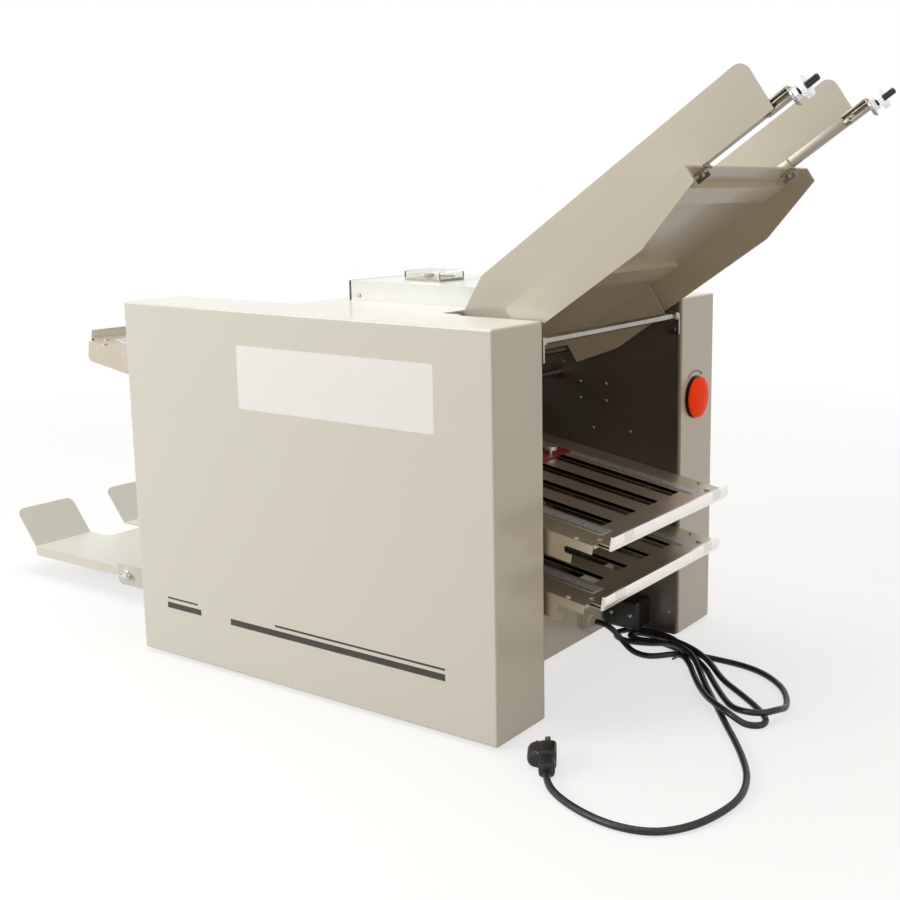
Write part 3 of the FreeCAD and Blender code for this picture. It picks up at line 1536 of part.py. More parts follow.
def make_plug():
    """The moulded plug on its side, with two flat blades and a round earth pin."""
    before, end = cord_points()[-2:]
    foot = Vector(end.x, end.y, 0)
    heading = math.degrees(math.atan2(end.y - before.y, end.x - before.x))
    neck = box(0, plug_neck_length, -plug_neck_width / 2, plug_neck_width / 2, 0, plug_neck_height)
    length = plug_neck_length + plug_head_length
    head = box(plug_neck_length, length, -plug_head_width / 2, plug_head_width / 2, 0, plug_head_height)
    neck = neck.makeFillet(plug_round, [edge for edge in neck.Edges if edge.BoundBox.XLength > plug_round])
    head = head.makeFillet(plug_round, [edge for edge in head.Edges if edge.BoundBox.XLength > plug_round])
    lobe = Part.makeCylinder(plug_lobe_radius, plug_head_length,
                             Vector(plug_neck_length, plug_lobe_offset, plug_head_height / 2), X_AXIS)
    rim = [edge for edge in lobe.Edges
           if edge.BoundBox.XMax < length and edge.BoundBox.XLength < plug_round]
    lobe = lobe.makeFillet(plug_lobe_round, rim)
    body = joined([neck, head, lobe])
    pieces = [body]
    for side in (-1, 1):
        z = plug_head_height / 2 + side * blade_spacing / 2
        blade = box(length, length + blade_length, -blade_width / 2, blade_width / 2,
                    z - blade_thickness / 2, z + blade_thickness / 2)
        eye = Vector(length + blade_length - blade_hole_inset, 0, z - blade_thickness - overrun)
        hole = Part.makeCylinder(blade_hole_radius, blade_thickness + 2 * overrun, eye, Z_AXIS)
        pieces.append(cut(blade, [hole]))
    pieces.append(Part.makeCylinder(earth_pin_radius, earth_pin_length,
                                    Vector(length, plug_lobe_offset, plug_head_height / 2), X_AXIS))
    for piece in pieces:
        piece.rotate(NO_MOVE, Z_AXIS, heading)
        piece.translate(foot)
    save("mains_plug", *pieces)


os.makedirs("parts", exist_ok=True)
make_covers()
make_frames()
make_frame_screws()
make_feet()
make_pan()
make_gland()
make_deck()
make_control_box()
make_switch_panel()
make_guard()
make_table()
make_tie_rods()
make_guides()
make_rollers()
make_bushes()
make_drive()
make_plates()
make_chute()
make_tray()
make_brackets()
make_tray_screws()
make_stop_button()
make_terminal_cover()
make_cord()
make_tie()
make_plug()
print("right end of the covers at x", round(right_x, 2))
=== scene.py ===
import math

import bmesh
import bpy
from mathutils import Matrix, Vector


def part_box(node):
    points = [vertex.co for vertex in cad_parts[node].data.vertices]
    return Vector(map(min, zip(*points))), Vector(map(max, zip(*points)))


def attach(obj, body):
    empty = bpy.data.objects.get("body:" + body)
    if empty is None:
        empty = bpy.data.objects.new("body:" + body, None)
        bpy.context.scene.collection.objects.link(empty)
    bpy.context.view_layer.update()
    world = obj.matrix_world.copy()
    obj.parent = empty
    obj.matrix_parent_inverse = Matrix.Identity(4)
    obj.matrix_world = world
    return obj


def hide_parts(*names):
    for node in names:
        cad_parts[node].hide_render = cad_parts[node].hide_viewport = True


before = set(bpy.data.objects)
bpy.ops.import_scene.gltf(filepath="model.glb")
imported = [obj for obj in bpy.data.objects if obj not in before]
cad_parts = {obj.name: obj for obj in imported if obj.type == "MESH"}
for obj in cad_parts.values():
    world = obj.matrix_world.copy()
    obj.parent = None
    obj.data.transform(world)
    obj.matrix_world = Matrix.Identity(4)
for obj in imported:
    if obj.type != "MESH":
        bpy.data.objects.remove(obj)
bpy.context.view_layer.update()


# Camera: the photographer stands at the feed end, right of the machine, with the lens a little
# above the covers. The far covers stay upright in the picture, so the frame is shifted, not tilted.
camera_settings = bpy.data.cameras.new("camera")
camera_settings.lens = 50.15
camera_settings.sensor_width = 36
camera_settings.shift_x = -0.1556
camera_settings.shift_y = -0.0459
camera = bpy.data.objects.new("camera", camera_settings)
camera.location = (1.1846, -1.3404, 0.6405)
camera.rotation_euler = (math.radians(90 - 10.3), 0, math.radians(32.05))
bpy.context.scene.collection.objects.link(camera)
bpy.context.scene.camera = camera
bpy.context.scene.view_settings.view_transform = "Standard"


# Floor and studio light: a pale paper sweep, one broad soft lamp overhead, one at the front left,
# and a weak warm one on the feed end, which stays in its own shade as in the photograph.
def linear(red, green, blue):
    """A colour read as eight-bit screen values, for a shader socket."""
    shares = [value / 255 for value in (red, green, blue)]
    return [s / 12.92 if s <= 0.04045 else ((s + 0.055) / 1.055) ** 2.4 for s in shares] + [1]


floor_reach = 30
floor_mesh = bpy.data.meshes.new("floor")
floor_mesh.from_pydata([(-floor_reach, -floor_reach, -0.0005), (floor_reach, -floor_reach, -0.0005),
                        (floor_reach, floor_reach, -0.0005), (-floor_reach, floor_reach, -0.0005)],
                       [], [(0, 1, 2, 3)])
floor = bpy.data.objects.new("floor", floor_mesh)
bpy.context.scene.collection.objects.link(floor)
floor_paper = bpy.data.materials.new("floor_paper")
floor_paper.use_nodes = True
paper_nodes = floor_paper.node_tree.nodes
paper_links = floor_paper.node_tree.links
paper_ray = paper_nodes.new("ShaderNodeLightPath")
paper_shade = paper_nodes.new("ShaderNodeMix")
paper_shade.data_type = "RGBA"
paper_shade.inputs[6].default_value = linear(156, 146, 132)
paper_shade.inputs[7].default_value = linear(250, 250, 248)
paper_seen = paper_nodes.new("ShaderNodeMath")
paper_seen.operation = "MAXIMUM"
paper_clear = paper_nodes.new("ShaderNodeMath")
paper_clear.operation = "MAXIMUM"
paper_links.new(paper_ray.outputs["Is Glossy Ray"], paper_clear.inputs[0])
paper_links.new(paper_ray.outputs["Is Transmission Ray"], paper_clear.inputs[1])
paper_links.new(paper_ray.outputs["Is Camera Ray"], paper_seen.inputs[0])
paper_links.new(paper_clear.outputs[0], paper_seen.inputs[1])
paper_links.new(paper_seen.outputs[0], paper_shade.inputs[0])
paper_links.new(paper_shade.outputs[2], paper_nodes["Principled BSDF"].inputs["Base Color"])
paper_nodes["Principled BSDF"].inputs["Roughness"].default_value = 0.9
paper_place = paper_nodes.new("ShaderNodeTexCoord")
paper_away = paper_nodes.new("ShaderNodeVectorMath")
paper_away.operation = "LENGTH"
paper_fade = paper_nodes.new("ShaderNodeMapRange")
white_from, white_by, glow_share = 0.8, 2.4, 0.68
for socket, value in zip(paper_fade.inputs[1:5], (white_from, white_by, glow_share, 1)):
    socket.default_value = value
paper_glow = paper_nodes.new("ShaderNodeEmission")
paper_glow.inputs["Strength"].default_value = 1
paper_share = paper_nodes.new("ShaderNodeMath")
paper_share.operation = "MULTIPLY"
paper_mix = paper_nodes.new("ShaderNodeMixShader")
paper_links.new(paper_place.outputs["Object"], paper_away.inputs[0])
paper_links.new(paper_away.outputs["Value"], paper_fade.inputs[0])
paper_links.new(paper_fade.outputs["Result"], paper_share.inputs[0])
paper_links.new(paper_seen.outputs[0], paper_share.inputs[1])
paper_links.new(paper_share.outputs[0], paper_mix.inputs[0])
paper_links.new(paper_nodes["Principled BSDF"].outputs[0], paper_mix.inputs[1])
paper_links.new(paper_glow.outputs[0], paper_mix.inputs[2])
paper_links.new(paper_mix.outputs[0], paper_nodes["Material Output"].inputs["Surface"])
floor_mesh.materials.append(floor_paper)

world = bpy.data.worlds.new("studio")
bpy.context.scene.world = world
world.use_nodes = True
world_nodes, world_links = world.node_tree.nodes, world.node_tree.links
world_ray = world_nodes.new("ShaderNodeLightPath")
room_light = world_nodes["Background"]
room_light.inputs["Color"].default_value = linear(250, 248, 244)
room_light.inputs["Strength"].default_value = 0.3
white_light = world_nodes.new("ShaderNodeBackground")
white_light.inputs["Color"].default_value = (1, 1, 1, 1)
white_light.inputs["Strength"].default_value = 1
world_seen = world_nodes.new("ShaderNodeMath")
world_seen.operation = "MAXIMUM"
world_mix = world_nodes.new("ShaderNodeMixShader")
world_clear = world_nodes.new("ShaderNodeMath")
world_clear.operation = "MAXIMUM"
world_links.new(world_ray.outputs["Is Glossy Ray"], world_clear.inputs[0])
world_links.new(world_ray.outputs["Is Transmission Ray"], world_clear.inputs[1])
world_links.new(world_ray.outputs["Is Camera Ray"], world_seen.inputs[0])
world_links.new(world_clear.outputs[0], world_seen.inputs[1])
world_links.new(world_seen.outputs[0], world_mix.inputs[0])
world_links.new(room_light.outputs[0], world_mix.inputs[1])
world_links.new(white_light.outputs[0], world_mix.inputs[2])
world_links.new(world_mix.outputs[0], world_nodes["World Output"].inputs["Surface"])

for lamp_name, place, aim, width, power, tone in [
        ("lamp_overhead", (-0.3, 0.1, 2.9), (0, 0, 0.2), 2.4, 49, (255, 254, 251)),
        ("lamp_front_left", (-1.9, -2.9, 1.6), (0, 0, 0.3), 2.0, 88, (255, 254, 252)),
        ("lamp_feed_end", (3.0, -0.9, 1.3), (0.2, 0, 0.3), 1.4, 17, (255, 228, 200))]:
    lamp_settings = bpy.data.lights.new(lamp_name, "AREA")
    lamp_settings.shape = "DISK"
    lamp_settings.size = width
    lamp_settings.energy = power
    lamp_settings.color = linear(*tone)[:3]
    lamp = bpy.data.objects.new(lamp_name, lamp_settings)
    lamp.location = place
    lamp.rotation_euler = (Vector(aim) - Vector(place)).to_track_quat("-Z", "Y").to_euler()
    bpy.context.scene.collection.objects.link(lamp)


# Mains cord: round black flexible cord, 8 mm thick, from the gland to the plug. It is gathered
# into two long loops with a short fold on the other side of the tie, and its tail runs to the plug.
class Finish:
    """A surface finish whose colour, roughness and relief follow the piece's own places."""

    def __init__(self, name, rough, metal=0.0):
        self.material = bpy.data.materials.new(name)
        self.material.use_nodes = True
        self.tree = self.material.node_tree
        self.shader = self.tree.nodes["Principled BSDF"]
        self.shader.inputs["Roughness"].default_value = rough
        self.shader.inputs["Metallic"].default_value = metal
        self.place = self.add("ShaderNodeTexCoord").outputs["Object"]

    def add(self, kind, **settings):
        node = self.tree.nodes.new(kind)
        for setting, value in settings.items():
            setattr(node, setting, value)
        return node

    def join(self, socket, value):
        """Set a socket to a value, or link it to another node's socket."""
        if isinstance(value, bpy.types.NodeSocket):
            self.tree.links.new(value, socket)
        else:
            socket.default_value = value

    def noise(self, size, stretch=(1, 1, 1), detail=3.0):
        """Cloudy grain of a size in metres, drawn out by stretch along X, Y and Z."""
        scale = self.add("ShaderNodeMapping")
        self.join(scale.inputs["Vector"], self.place)
        scale.inputs["Scale"].default_value = [1 / (size * share) for share in stretch]
        grain = self.add("ShaderNodeTexNoise")
        self.join(grain.inputs["Vector"], scale.outputs[0])
        grain.inputs["Scale"].default_value = 1
        grain.inputs["Detail"].default_value = detail
        return grain.outputs["Fac"]

    def math(self, operation, *values):
        node = self.add("ShaderNodeMath", operation=operation)
        for socket, value in zip(node.inputs, values):
            self.join(socket, value)
        return node.outputs[0]

    def span(self, value, low, high, start=0.0, end=1.0):
        """A value's range turned into another, held at both ends."""
        node = self.add("ShaderNodeMapRange")
        for socket, number in zip(node.inputs, (value, low, high, start, end)):
            self.join(socket, number)
        return node.outputs["Result"]

    def mix(self, share, first, second):
        node = self.add("ShaderNodeMix", data_type="RGBA")
        for index, value in ((0, share), (6, first), (7, second)):
            self.join(node.inputs[index], value)
        return node.outputs[2]

    def distance(self, direction, origin=(0, 0, 0)):
        """How far a point lies along a direction from an origin, in metres."""
        away = self.add("ShaderNodeVectorMath", operation="SUBTRACT")
        self.join(away.inputs[0], self.place)
        away.inputs[1].default_value = origin
        dot = self.add("ShaderNodeVectorMath", operation="DOT_PRODUCT")
        self.join(dot.inputs[0], away.outputs[0])
        dot.inputs[1].default_value = direction
        return dot.outputs["Value"]

    def beyond(self, value, limit):
        return self.math("GREATER_THAN", value, limit)

    def colour(self, value):
        self.join(self.shader.inputs["Base Color"], value)

    def rough(self, value):
        self.join(self.shader.inputs["Roughness"], value)

    def metal(self, value):
        self.join(self.shader.inputs["Metallic"], value)

    def relief(self, height, depth):
        bump = self.add("ShaderNodeBump")
        bump.inputs["Distance"].default_value = depth
        self.join(bump.inputs["Height"], height)
        self.join(self.shader.inputs["Normal"], bump.outputs["Normal"])


def vinyl(name, tone, light_tone):
    """Soft black plastic with a faint bloom and fine extrusion marks."""
    finish = Finish(name, 0.42)
    bloom = finish.noise(0.03)
    finish.colour(finish.mix(finish.span(bloom, 0.35, 0.75), linear(*tone), linear(*light_tone)))
    finish.rough(finish.span(finish.noise(0.008), 0.3, 0.7, 0.34, 0.5))
    finish.relief(finish.noise(0.0012), 0.00004)
    return finish.material


cord_black = vinyl("cord_black", (15, 15, 16), (27, 27, 28))
gland_mouth = Vector((306.28, 78, 0))
cord_diameter = 0.008
cord_route = [
    (0, 0, 35.5), (12, 0, 35.5), (26, 2, 29), (38, 5, 16), (54, 2, 5), (72, -5, 4), (93, -3, 4),
    (122, 24, 7),
    (148, 0, 4), (172, -34, 4), (201, -71, 5), (233, -110, 13), (267, -131, 13), (287, -132, 4),
    (301, -132, 4), (311, -123, 4), (307, -105, 4), (281, -79, 4), (243, -50, 4), (208, -25, 4),
    (177, 0, 14),
    (144, 25, 14.5), (110, 40, 14.5), (88, 57, 8), (67, 67, 4), (45, 69, 4), (26, 64, 4), (24, 49, 4),
    (43, 42, 4), (66, 51, 4), (86, 47, 4),
    (108, 35.5, 6), (142, 21, 6), (172, -1, 4), (202, -38, 4), (232, -73, 4), (259, -103, 7),
    (283, -119, 13), (305, -113, 13.5), (316, -91, 13), (314, -63, 4), (302, -33, 4), (281, -3, 4),
    (246, 23, 4), (211, 34, 4), (177, 35, 4),
    (146, 29, 6), (112, 44.5, 6), (94, 66, 4), (70, 78, 4), (39, 81, 4), (13, 73, 4), (2, 54, 4),
    (10, 37, 4), (30, 29, 4), (50, 33, 4), (69, 41, 4), (87, 38, 9),
    (106.5, 31, 14.5), (140, 16, 14.5), (163, -7, 9), (188, -39, 4), (216, -75, 4), (243, -108, 4),
    (271, -144, 4), (299, -178, 4), (327, -215, 4), (351, -253, 4), (365, -297, 4), (362, -339, 4),
    (349, -381, 4), (323, -412, 4), (281, -422, 4), (235, -414, 4), (195, -397, 4), (174, -382, 7),
    (165, -368, 7),
]
cord_points = [(gland_mouth + Vector(point)) / 1000 for point in cord_route]
cord_curve = bpy.data.curves.new("cord", "CURVE")
cord_curve.dimensions = "3D"
cord_line = cord_curve.splines.new("NURBS")
cord_line.points.add(len(cord_points) - 1)
for curve_point, place in zip(cord_line.points, cord_points):
    curve_point.co = (*place, 1)
cord_line.order_u = 3
cord_line.use_endpoint_u = True
cord_line.resolution_u = 8
cord_curve.bevel_depth = cord_diameter / 2
cord_curve.bevel_resolution = 5
cord_curve.use_fill_caps = True
cord_curve.materials.append(cord_black)
cord = bpy.data.objects.new("cord", cord_curve)
bpy.context.scene.collection.objects.link(cord)
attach(cord, "frame")
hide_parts("mains_cord")


# Cord tie: one strip of grey plastic with a wire core, wrapped round the five strands and
# twisted shut at the near end, where its two tails wind round each other on the floor.
millimetres = Matrix.Scale(0.001, 4)


def skin(mesh, rings, closed=True):
    """Join rings of equal count into a tube, and close its ends."""
    rows = [[mesh.verts.new(point) for point in ring] for ring in rings]
    for row, following in zip(rows, rows[1:]):
        for k in range(len(row)):
            other = (k + 1) % len(row)
            mesh.faces.new((row[k], row[other], following[other], following[k]))
    if closed:
        mesh.faces.new(rows[0][::-1])
        mesh.faces.new(rows[-1])
    else:
        for k in range(len(rows[0])):
            other = (k + 1) % len(rows[0])
            mesh.faces.new((rows[-1][k], rows[-1][other], rows[0][other], rows[0][k]))


def piece(name, mesh, body, material, place=millimetres, crease=30):
    """Turn a mesh in millimetres into a piece that rides on a body."""
    mesh.transform(place)
    bmesh.ops.recalc_face_normals(mesh, faces=mesh.faces)
    data = bpy.data.meshes.new(name)
    mesh.to_mesh(data)
    mesh.free()
    data.materials.append(material)
    data.shade_smooth()
    data.set_sharp_from_angle(angle=math.radians(crease))
    thing = bpy.data.objects.new(name, data)
    bpy.context.scene.collection.objects.link(thing)
    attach(thing, body)
    return thing


tie_grey = vinyl("tie_grey", (122, 122, 120), (142, 142, 140))
tie_low = 6.3
tie_corners = [(9.2, 0), (4.6, 8.5), (-4.6, 8.5), (-11.4, 0)]
tie_inside = 4.8
tie_loop = []
for k, (a, b) in enumerate(tie_corners):
    before = Vector(tie_corners[k - 1])
    after = Vector(tie_corners[(k + 1) % len(tie_corners)])
    here = Vector((a, b))
    start = math.atan2(-(here - before).x, (here - before).y) + math.pi
    end = math.atan2(-(after - here).x, (after - here).y) + math.pi
    while end < start:
        end += 2 * math.pi
    for step in range(7):
        turn = start + (end - start) * step / 6
        tie_loop.append((here, Vector((math.cos(turn), math.sin(turn)))))
tie_mesh = bmesh.new()
tie_section = [(-3, 0), (-3, 0.5), (-0.8, 0.6), (0, 1.3), (0.8, 0.6), (3, 0.5), (3, 0)]
tie_rings = []
for here, outward in tie_loop:
    tie_rings.append([(along, *(here + outward * (tie_inside + out))) for along, out in tie_section])
skin(tie_mesh, tie_rings, closed=False)
tail_start = tie_corners[-1][0] - tie_inside - 0.2
tail_length = 9
tail_droop = 1.6
tail_turns = 1.6
for side in (0, math.pi):
    twist_rings = []
    for step in range(25):
        share = step / 24
        turn = side + share * tail_turns * 2 * math.pi
        middle = Vector((0, tail_start - tail_length * share, 0.1 - tail_droop * share))
        swing = Vector((math.cos(turn), 0, math.sin(turn)))
        lift = Vector((-math.sin(turn), 0, math.cos(turn)))
        strand = middle + swing * 0.9
        twist_rings.append([strand + swing * 0.7 * math.cos(p) + lift * 1.5 * math.sin(p)
                            for p in [math.pi * q / 4 for q in range(8)]])
    skin(tie_mesh, twist_rings)
tie_place = (millimetres @ Matrix.Translation(gland_mouth + Vector((131, 25.3, tie_low)))
             @ Matrix.Rotation(math.radians(-24.3), 4, "Z"))
tie = piece("twist_tie", tie_mesh, "frame", tie_grey, tie_place)
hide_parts("cord_tie")


# Mains plug: black rubber moulded over the cord's end, lying on its side. The square body has a
# round lobe for the earth pin, a ribbed neck, two flat blades and the pin, all of nickelled brass.
def outline(width, height, corner, lobe_radius=0.0, lobe_offset=0.0, count=48):
    """A rounded rectangle round its centre, grown by a round lobe on its left, as (y, z) points."""
    points = []
    for k in range(count):
        turn = 2 * math.pi * k / count
        y, z = math.cos(turn), math.sin(turn)
        reach = 1 / (abs(y / (width / 2)) ** corner + abs(z / (height / 2)) ** corner) ** (1 / corner)
        if lobe_radius:
            inside = lobe_radius ** 2 - (lobe_offset * z) ** 2
            if inside > 0:
                reach = max(reach, lobe_offset * y + math.sqrt(inside))
        points.append((reach * y, reach * z))
    return points


plug_mesh = bmesh.new()
plug_middle = 11.5
neck_rings = [(0, 9, 9), (0.6, 12, 12), (2, 15.5, 17)]
for rib in range(5):
    foot = 3.5 + rib * 3.6
    neck_rings += [(foot, 15.5, 17), (foot + 0.4, 18, 19.5)]
    neck_rings += [(foot + 2.2, 18.4, 19.8), (foot + 2.6, 16, 17.4)]
plug_rings = []
for along, width, height in neck_rings:
    plug_rings.append([(along, y, plug_middle + z - 1.3) for y, z in outline(width, height, 3.4)])
for along, width, height, lobe, offset in [
        (21.8, 18, 20.5, 0, 0), (22, 20, 22, 4, 7), (22.6, 20.6, 22.6, 7.4, 10.2), (24, 21, 23, 9, 11.5),
        (27, 21, 23, 10.2, 12), (31, 21, 23, 10.5, 12), (48.5, 21, 23, 10.5, 12), (49.6, 20.4, 22.4, 10, 12),
        (50, 19.2, 21.2, 9.2, 12)]:
    plug_rings.append([(along, y, plug_middle + z) for y, z in outline(width, height, 5, lobe, offset)])
skin(plug_mesh, plug_rings)
plug_turn = 122.74
plug_place = (millimetres @ Matrix.Translation(gland_mouth + Vector((*cord_route[-1][:2], 0)))
              @ Matrix.Rotation(math.radians(plug_turn), 4, "Z"))
plug_black = vinyl("plug_black", (17, 17, 18), (30, 30, 32))
plug = piece("plug", plug_mesh, "frame", plug_black, plug_place)


def nickel(name, tone, light_tone, rough=0.24):
    """Bright plated metal with fine scratches and a patchy shine."""
    finish = Finish(name, rough, 1.0)
    finish.colour(finish.mix(finish.noise(0.03, detail=1.0), linear(*tone), linear(*light_tone)))
    finish.rough(finish.span(finish.noise(0.006), 0.3, 0.75, rough * 0.85, rough * 1.2))
    finish.relief(finish.noise(0.0012, detail=1.0), 0.000004)
    return finish.material


pin_nickel = nickel("pin_nickel", (196, 190, 178), (222, 218, 208))
blade_mesh = bmesh.new()
blade_half_spacing = 6.35
blade_sheet = 1.5
eye_radius = 1.6
for side in (-1, 1):
    z = plug_middle + side * blade_half_spacing
    blade_outline = [(49, -3.2), (66.6, -3.2), (68, -2.2), (68, 2.2), (66.6, 3.2), (49, 3.2)]
    blade_edge = [blade_mesh.verts.new((x, y, z - blade_sheet / 2)) for x, y in blade_outline]
    eye = [blade_mesh.verts.new((64 + eye_radius * math.cos(t), eye_radius * math.sin(t),
                                 z - blade_sheet / 2))
           for t in [math.pi * q / 8 for q in range(16)]]
    loops = []
    for loop in (blade_edge, eye):
        loops += [blade_mesh.edges.new((loop[k], loop[(k + 1) % len(loop)])) for k in range(len(loop))]
    face = bmesh.ops.triangle_fill(blade_mesh, edges=loops, use_beauty=True)
    faces = [item for item in face["geom"] if isinstance(item, bmesh.types.BMFace)]
    raised = bmesh.ops.extrude_face_region(blade_mesh, geom=faces)
    top = [item for item in raised["geom"] if isinstance(item, bmesh.types.BMVert)]
    bmesh.ops.translate(blade_mesh, vec=(0, 0, blade_sheet), verts=top)


def ring(centre, axis, radius, count=32, sides=0):
    """Points round an axis; with sides they lie on a polygon of that width across flats."""
    axis = Vector(axis).normalized()
    first = axis.cross((0, 1, 0)) if abs(axis.y) < 0.9 else axis.cross((1, 0, 0))
    first.normalize()
    second = axis.cross(first)
    points = []
    for k in range(count):
        turn = 2 * math.pi * k / count
        reach = radius
        if sides:
            wedge = 2 * math.pi / sides
            reach = radius / math.cos(turn % wedge - wedge / 2)
        points.append(Vector(centre) + (first * math.cos(turn) + second * math.sin(turn)) * reach)
    return points


def turned(mesh, centre, axis, profile, count=32):
    """A turned shape: (place along the axis, radius) or (place, radius, sides) from end to end."""
    direction = Vector(axis).normalized()
    skin(mesh, [ring(Vector(centre) + direction * row[0], axis, row[1], count, *row[2:]) for row in profile])


turned(blade_mesh, (49, 12, plug_middle), (1, 0, 0), [(0, 2.4), (19.2, 2.4), (21, 1.5), (21.9, 0.6)])
blades = piece("plug_blades", blade_mesh, "frame", pin_nickel, plug_place)
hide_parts("mains_plug")


# Cable gland: a pale nylon boss, screwed cap and nose in the low panel, which grip the cord
# where it comes out. The cap has flats and a row of slits so that it can be done up by hand.
def plastic(name, tone, light_tone, rough=0.38, grain=0.0016, depth=0.000012):
    """Moulded plastic: one colour with a slight cloud, and a fine spark-eroded texture."""
    finish = Finish(name, rough)
    finish.colour(finish.mix(finish.noise(0.04), linear(*tone), linear(*light_tone)))
    finish.rough(finish.span(finish.noise(0.015), 0.3, 0.7, rough - 0.02, rough + 0.03))
    finish.relief(finish.noise(grain), depth)
    return finish.material


def dress(material, *names):
    """Give the part's own nodes a finish."""
    for name in names:
        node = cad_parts[name]
        if not node.material_slots:
            node.data.materials.append(material)
        for slot in node.material_slots:
            slot.material = material


gland_nylon = plastic("gland_nylon", (196, 194, 186), (214, 212, 204), 0.42)
gland_mesh = bmesh.new()
gland_reach = 24
gland_place = millimetres @ Matrix.Translation(gland_mouth + Vector((-gland_reach, 0, cord_route[0][2])))
turned(gland_mesh, (0, 0, 0), (1, 0, 0),
       [(0, 11), (0, 12.1, 6), (4.6, 12.1, 6), (5.4, 11.6, 6), (5.6, 10.4), (6, 10.4), (6.2, 11.6),
        (15, 10.9), (17.4, 9.6), (18, 7.6), (18.4, 6.4), (23.4, 6.1), (gland_reach, 5.6),
        (gland_reach, 4.15), (20, 4.15)], 48)
for k in range(12):
    turn = math.pi * k / 6
    rib = [Vector((x, r * math.cos(turn + w), r * math.sin(turn + w)))
           for x, r, w in ((7, 11.2, -0.08), (7, 11.2, 0.08), (7, 12, 0))]
    far_rib = [Vector((x, r * math.cos(turn + w), r * math.sin(turn + w)))
               for x, r, w in ((15.6, 10.3, -0.07), (15.6, 10.3, 0.07), (15.6, 10.9, 0))]
    skin(gland_mesh, [rib, far_rib])
turned(gland_mesh, (-12, 0, 0), (1, 0, 0), [(0, 7), (0.6, 7.9), (12.5, 7.9)], 32)
turned(gland_mesh, (-5.5, 0, 0), (1, 0, 0), [(0, 9.6, 6), (0.6, 10.3, 6), (3.4, 10.3, 6), (4, 9.6, 6)], 48)
gland = piece("gland", gland_mesh, "frame", gland_nylon, gland_place)
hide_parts("cable_gland")


# Terminal cover: a black moulded box over the mains terminals, held to the far frame by two
# socket-head screws, one at each end of its face.
moulded_black = plastic("moulded_black", (20, 20, 20), (32, 31, 30), 0.34)
dress(moulded_black, "terminal_cover")
bright_zinc = nickel("bright_zinc", (206, 208, 210), (232, 233, 234), 0.22)


def button_head(mesh, centre, axis, radius, height, socket=0.42):
    """A domed screw head with a hexagon socket, standing on its centre."""
    turned(mesh, centre, axis,
           [(0, radius), (height * 0.2, radius), (height * 0.62, radius * 0.9), (height * 0.9, radius * 0.7),
            (height, radius * 0.55), (height, radius * socket, 6), (height * 0.35, radius * socket, 6)], 24)


terminal_low, terminal_high = [corner * 1000 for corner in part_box("terminal_cover")]
terminal_screws = bmesh.new()
for share in (0.22, 0.78):
    x = terminal_low[0] + (terminal_high[0] - terminal_low[0]) * share
    button_head(terminal_screws, (x, 130.5, 33), (0, -1, 0), 3.2, 1.8)
piece("terminal_screws", terminal_screws, "frame", bright_zinc)


# Side covers: two folded boxes of 1.5 mm steel sheet in a warm grey gloss enamel, welded at the
# corners and ground smooth. They hang on the side frames and stand on short feet.
def enamel(name, tone, light_tone, rough=0.3):
    """Sprayed gloss enamel on sheet: nearly one colour, with orange peel and faint handling marks."""
    finish = Finish(name, rough)
    cloud = finish.span(finish.noise(0.4, detail=1.0), 0.2, 0.8)
    finish.colour(finish.mix(cloud, linear(*tone), linear(*light_tone)))
    finish.rough(finish.span(finish.noise(0.09, detail=2.0), 0.3, 0.8, rough * 0.92, rough * 1.1))
    finish.relief(finish.noise(0.0035, detail=1.0), 0.000035)
    finish.shader.inputs["Coat Weight"].default_value = 0.25
    finish.shader.inputs["Coat Roughness"].default_value = 0.12
    return finish.material


cover_enamel = enamel("cover_enamel", (217, 216, 206), (219, 218, 208))
dress(cover_enamel, "near_side_cover", "far_side_cover", "top_deck", "base_pan")

cover_length = 604
cover_height = 480
foot_height = 4
feed_end_x = 387.28
near_face_y = -265.0
decal_lift = 0.12
corner_steps = 6


def flat_decal(mesh, corners, radius=0.0):
    """A thin sheet on the near cover's outer face, from (x, z) corners, with rounded corners."""
    outline_points = []
    count = len(corners)
    for k, corner in enumerate(corners):
        here = Vector(corner)
        if not radius:
            outline_points.append(here)
            continue
        back = (Vector(corners[k - 1]) - here).normalized()
        ahead = (Vector(corners[(k + 1) % count]) - here).normalized()
        for step in range(corner_steps + 1):
            share = step / corner_steps
            outline_points.append(here + back * radius * (1 - share) ** 2 + ahead * radius * share ** 2)
    rings = []
    for y in (near_face_y - 0.01, near_face_y - decal_lift):
        rings.append([(point.x, y, point.y) for point in outline_points])
    skin(mesh, rings)


# Stripes: four strips of brown-black vinyl pressed on to the near cover's low edge.
stripe_vinyl = vinyl("stripe_vinyl", (48, 44, 38), (62, 58, 50))
stripe_mesh = bmesh.new()
for start, end, middle, height in [(-551, -492, 81, 2.4), (-552, -486, 71, 8), (-430, -74, 69.5, 8.5),
                                   (-349, -74, 79.5, 2.6)]:
    x0, x1 = feed_end_x + start, feed_end_x + end
    low, high = middle + foot_height - height / 2, middle + foot_height + height / 2
    flat_decal(stripe_mesh, [(x0, low), (x1, low), (x1, high), (x0, high)])
piece("vinyl_stripes", stripe_mesh, "frame", stripe_vinyl)


# Name panel: a bare white self-adhesive panel with rounded corners on the near cover, with a
# thin pale border where its film is sealed.
label_film = plastic("label_film", (242, 242, 242), (245, 245, 244), 0.4, 0.0008, 0.000002)
label_mesh = bmesh.new()
label_x0, label_x1 = feed_end_x - 394.5, feed_end_x - 82.5
label_z0, label_z1 = 360, 440
label_corners = [(label_x0, label_z0), (label_x1, label_z0), (label_x1, label_z1), (label_x0, label_z1)]
flat_decal(label_mesh, label_corners, 2.5)
piece("blank_label", label_mesh, "frame", label_film)


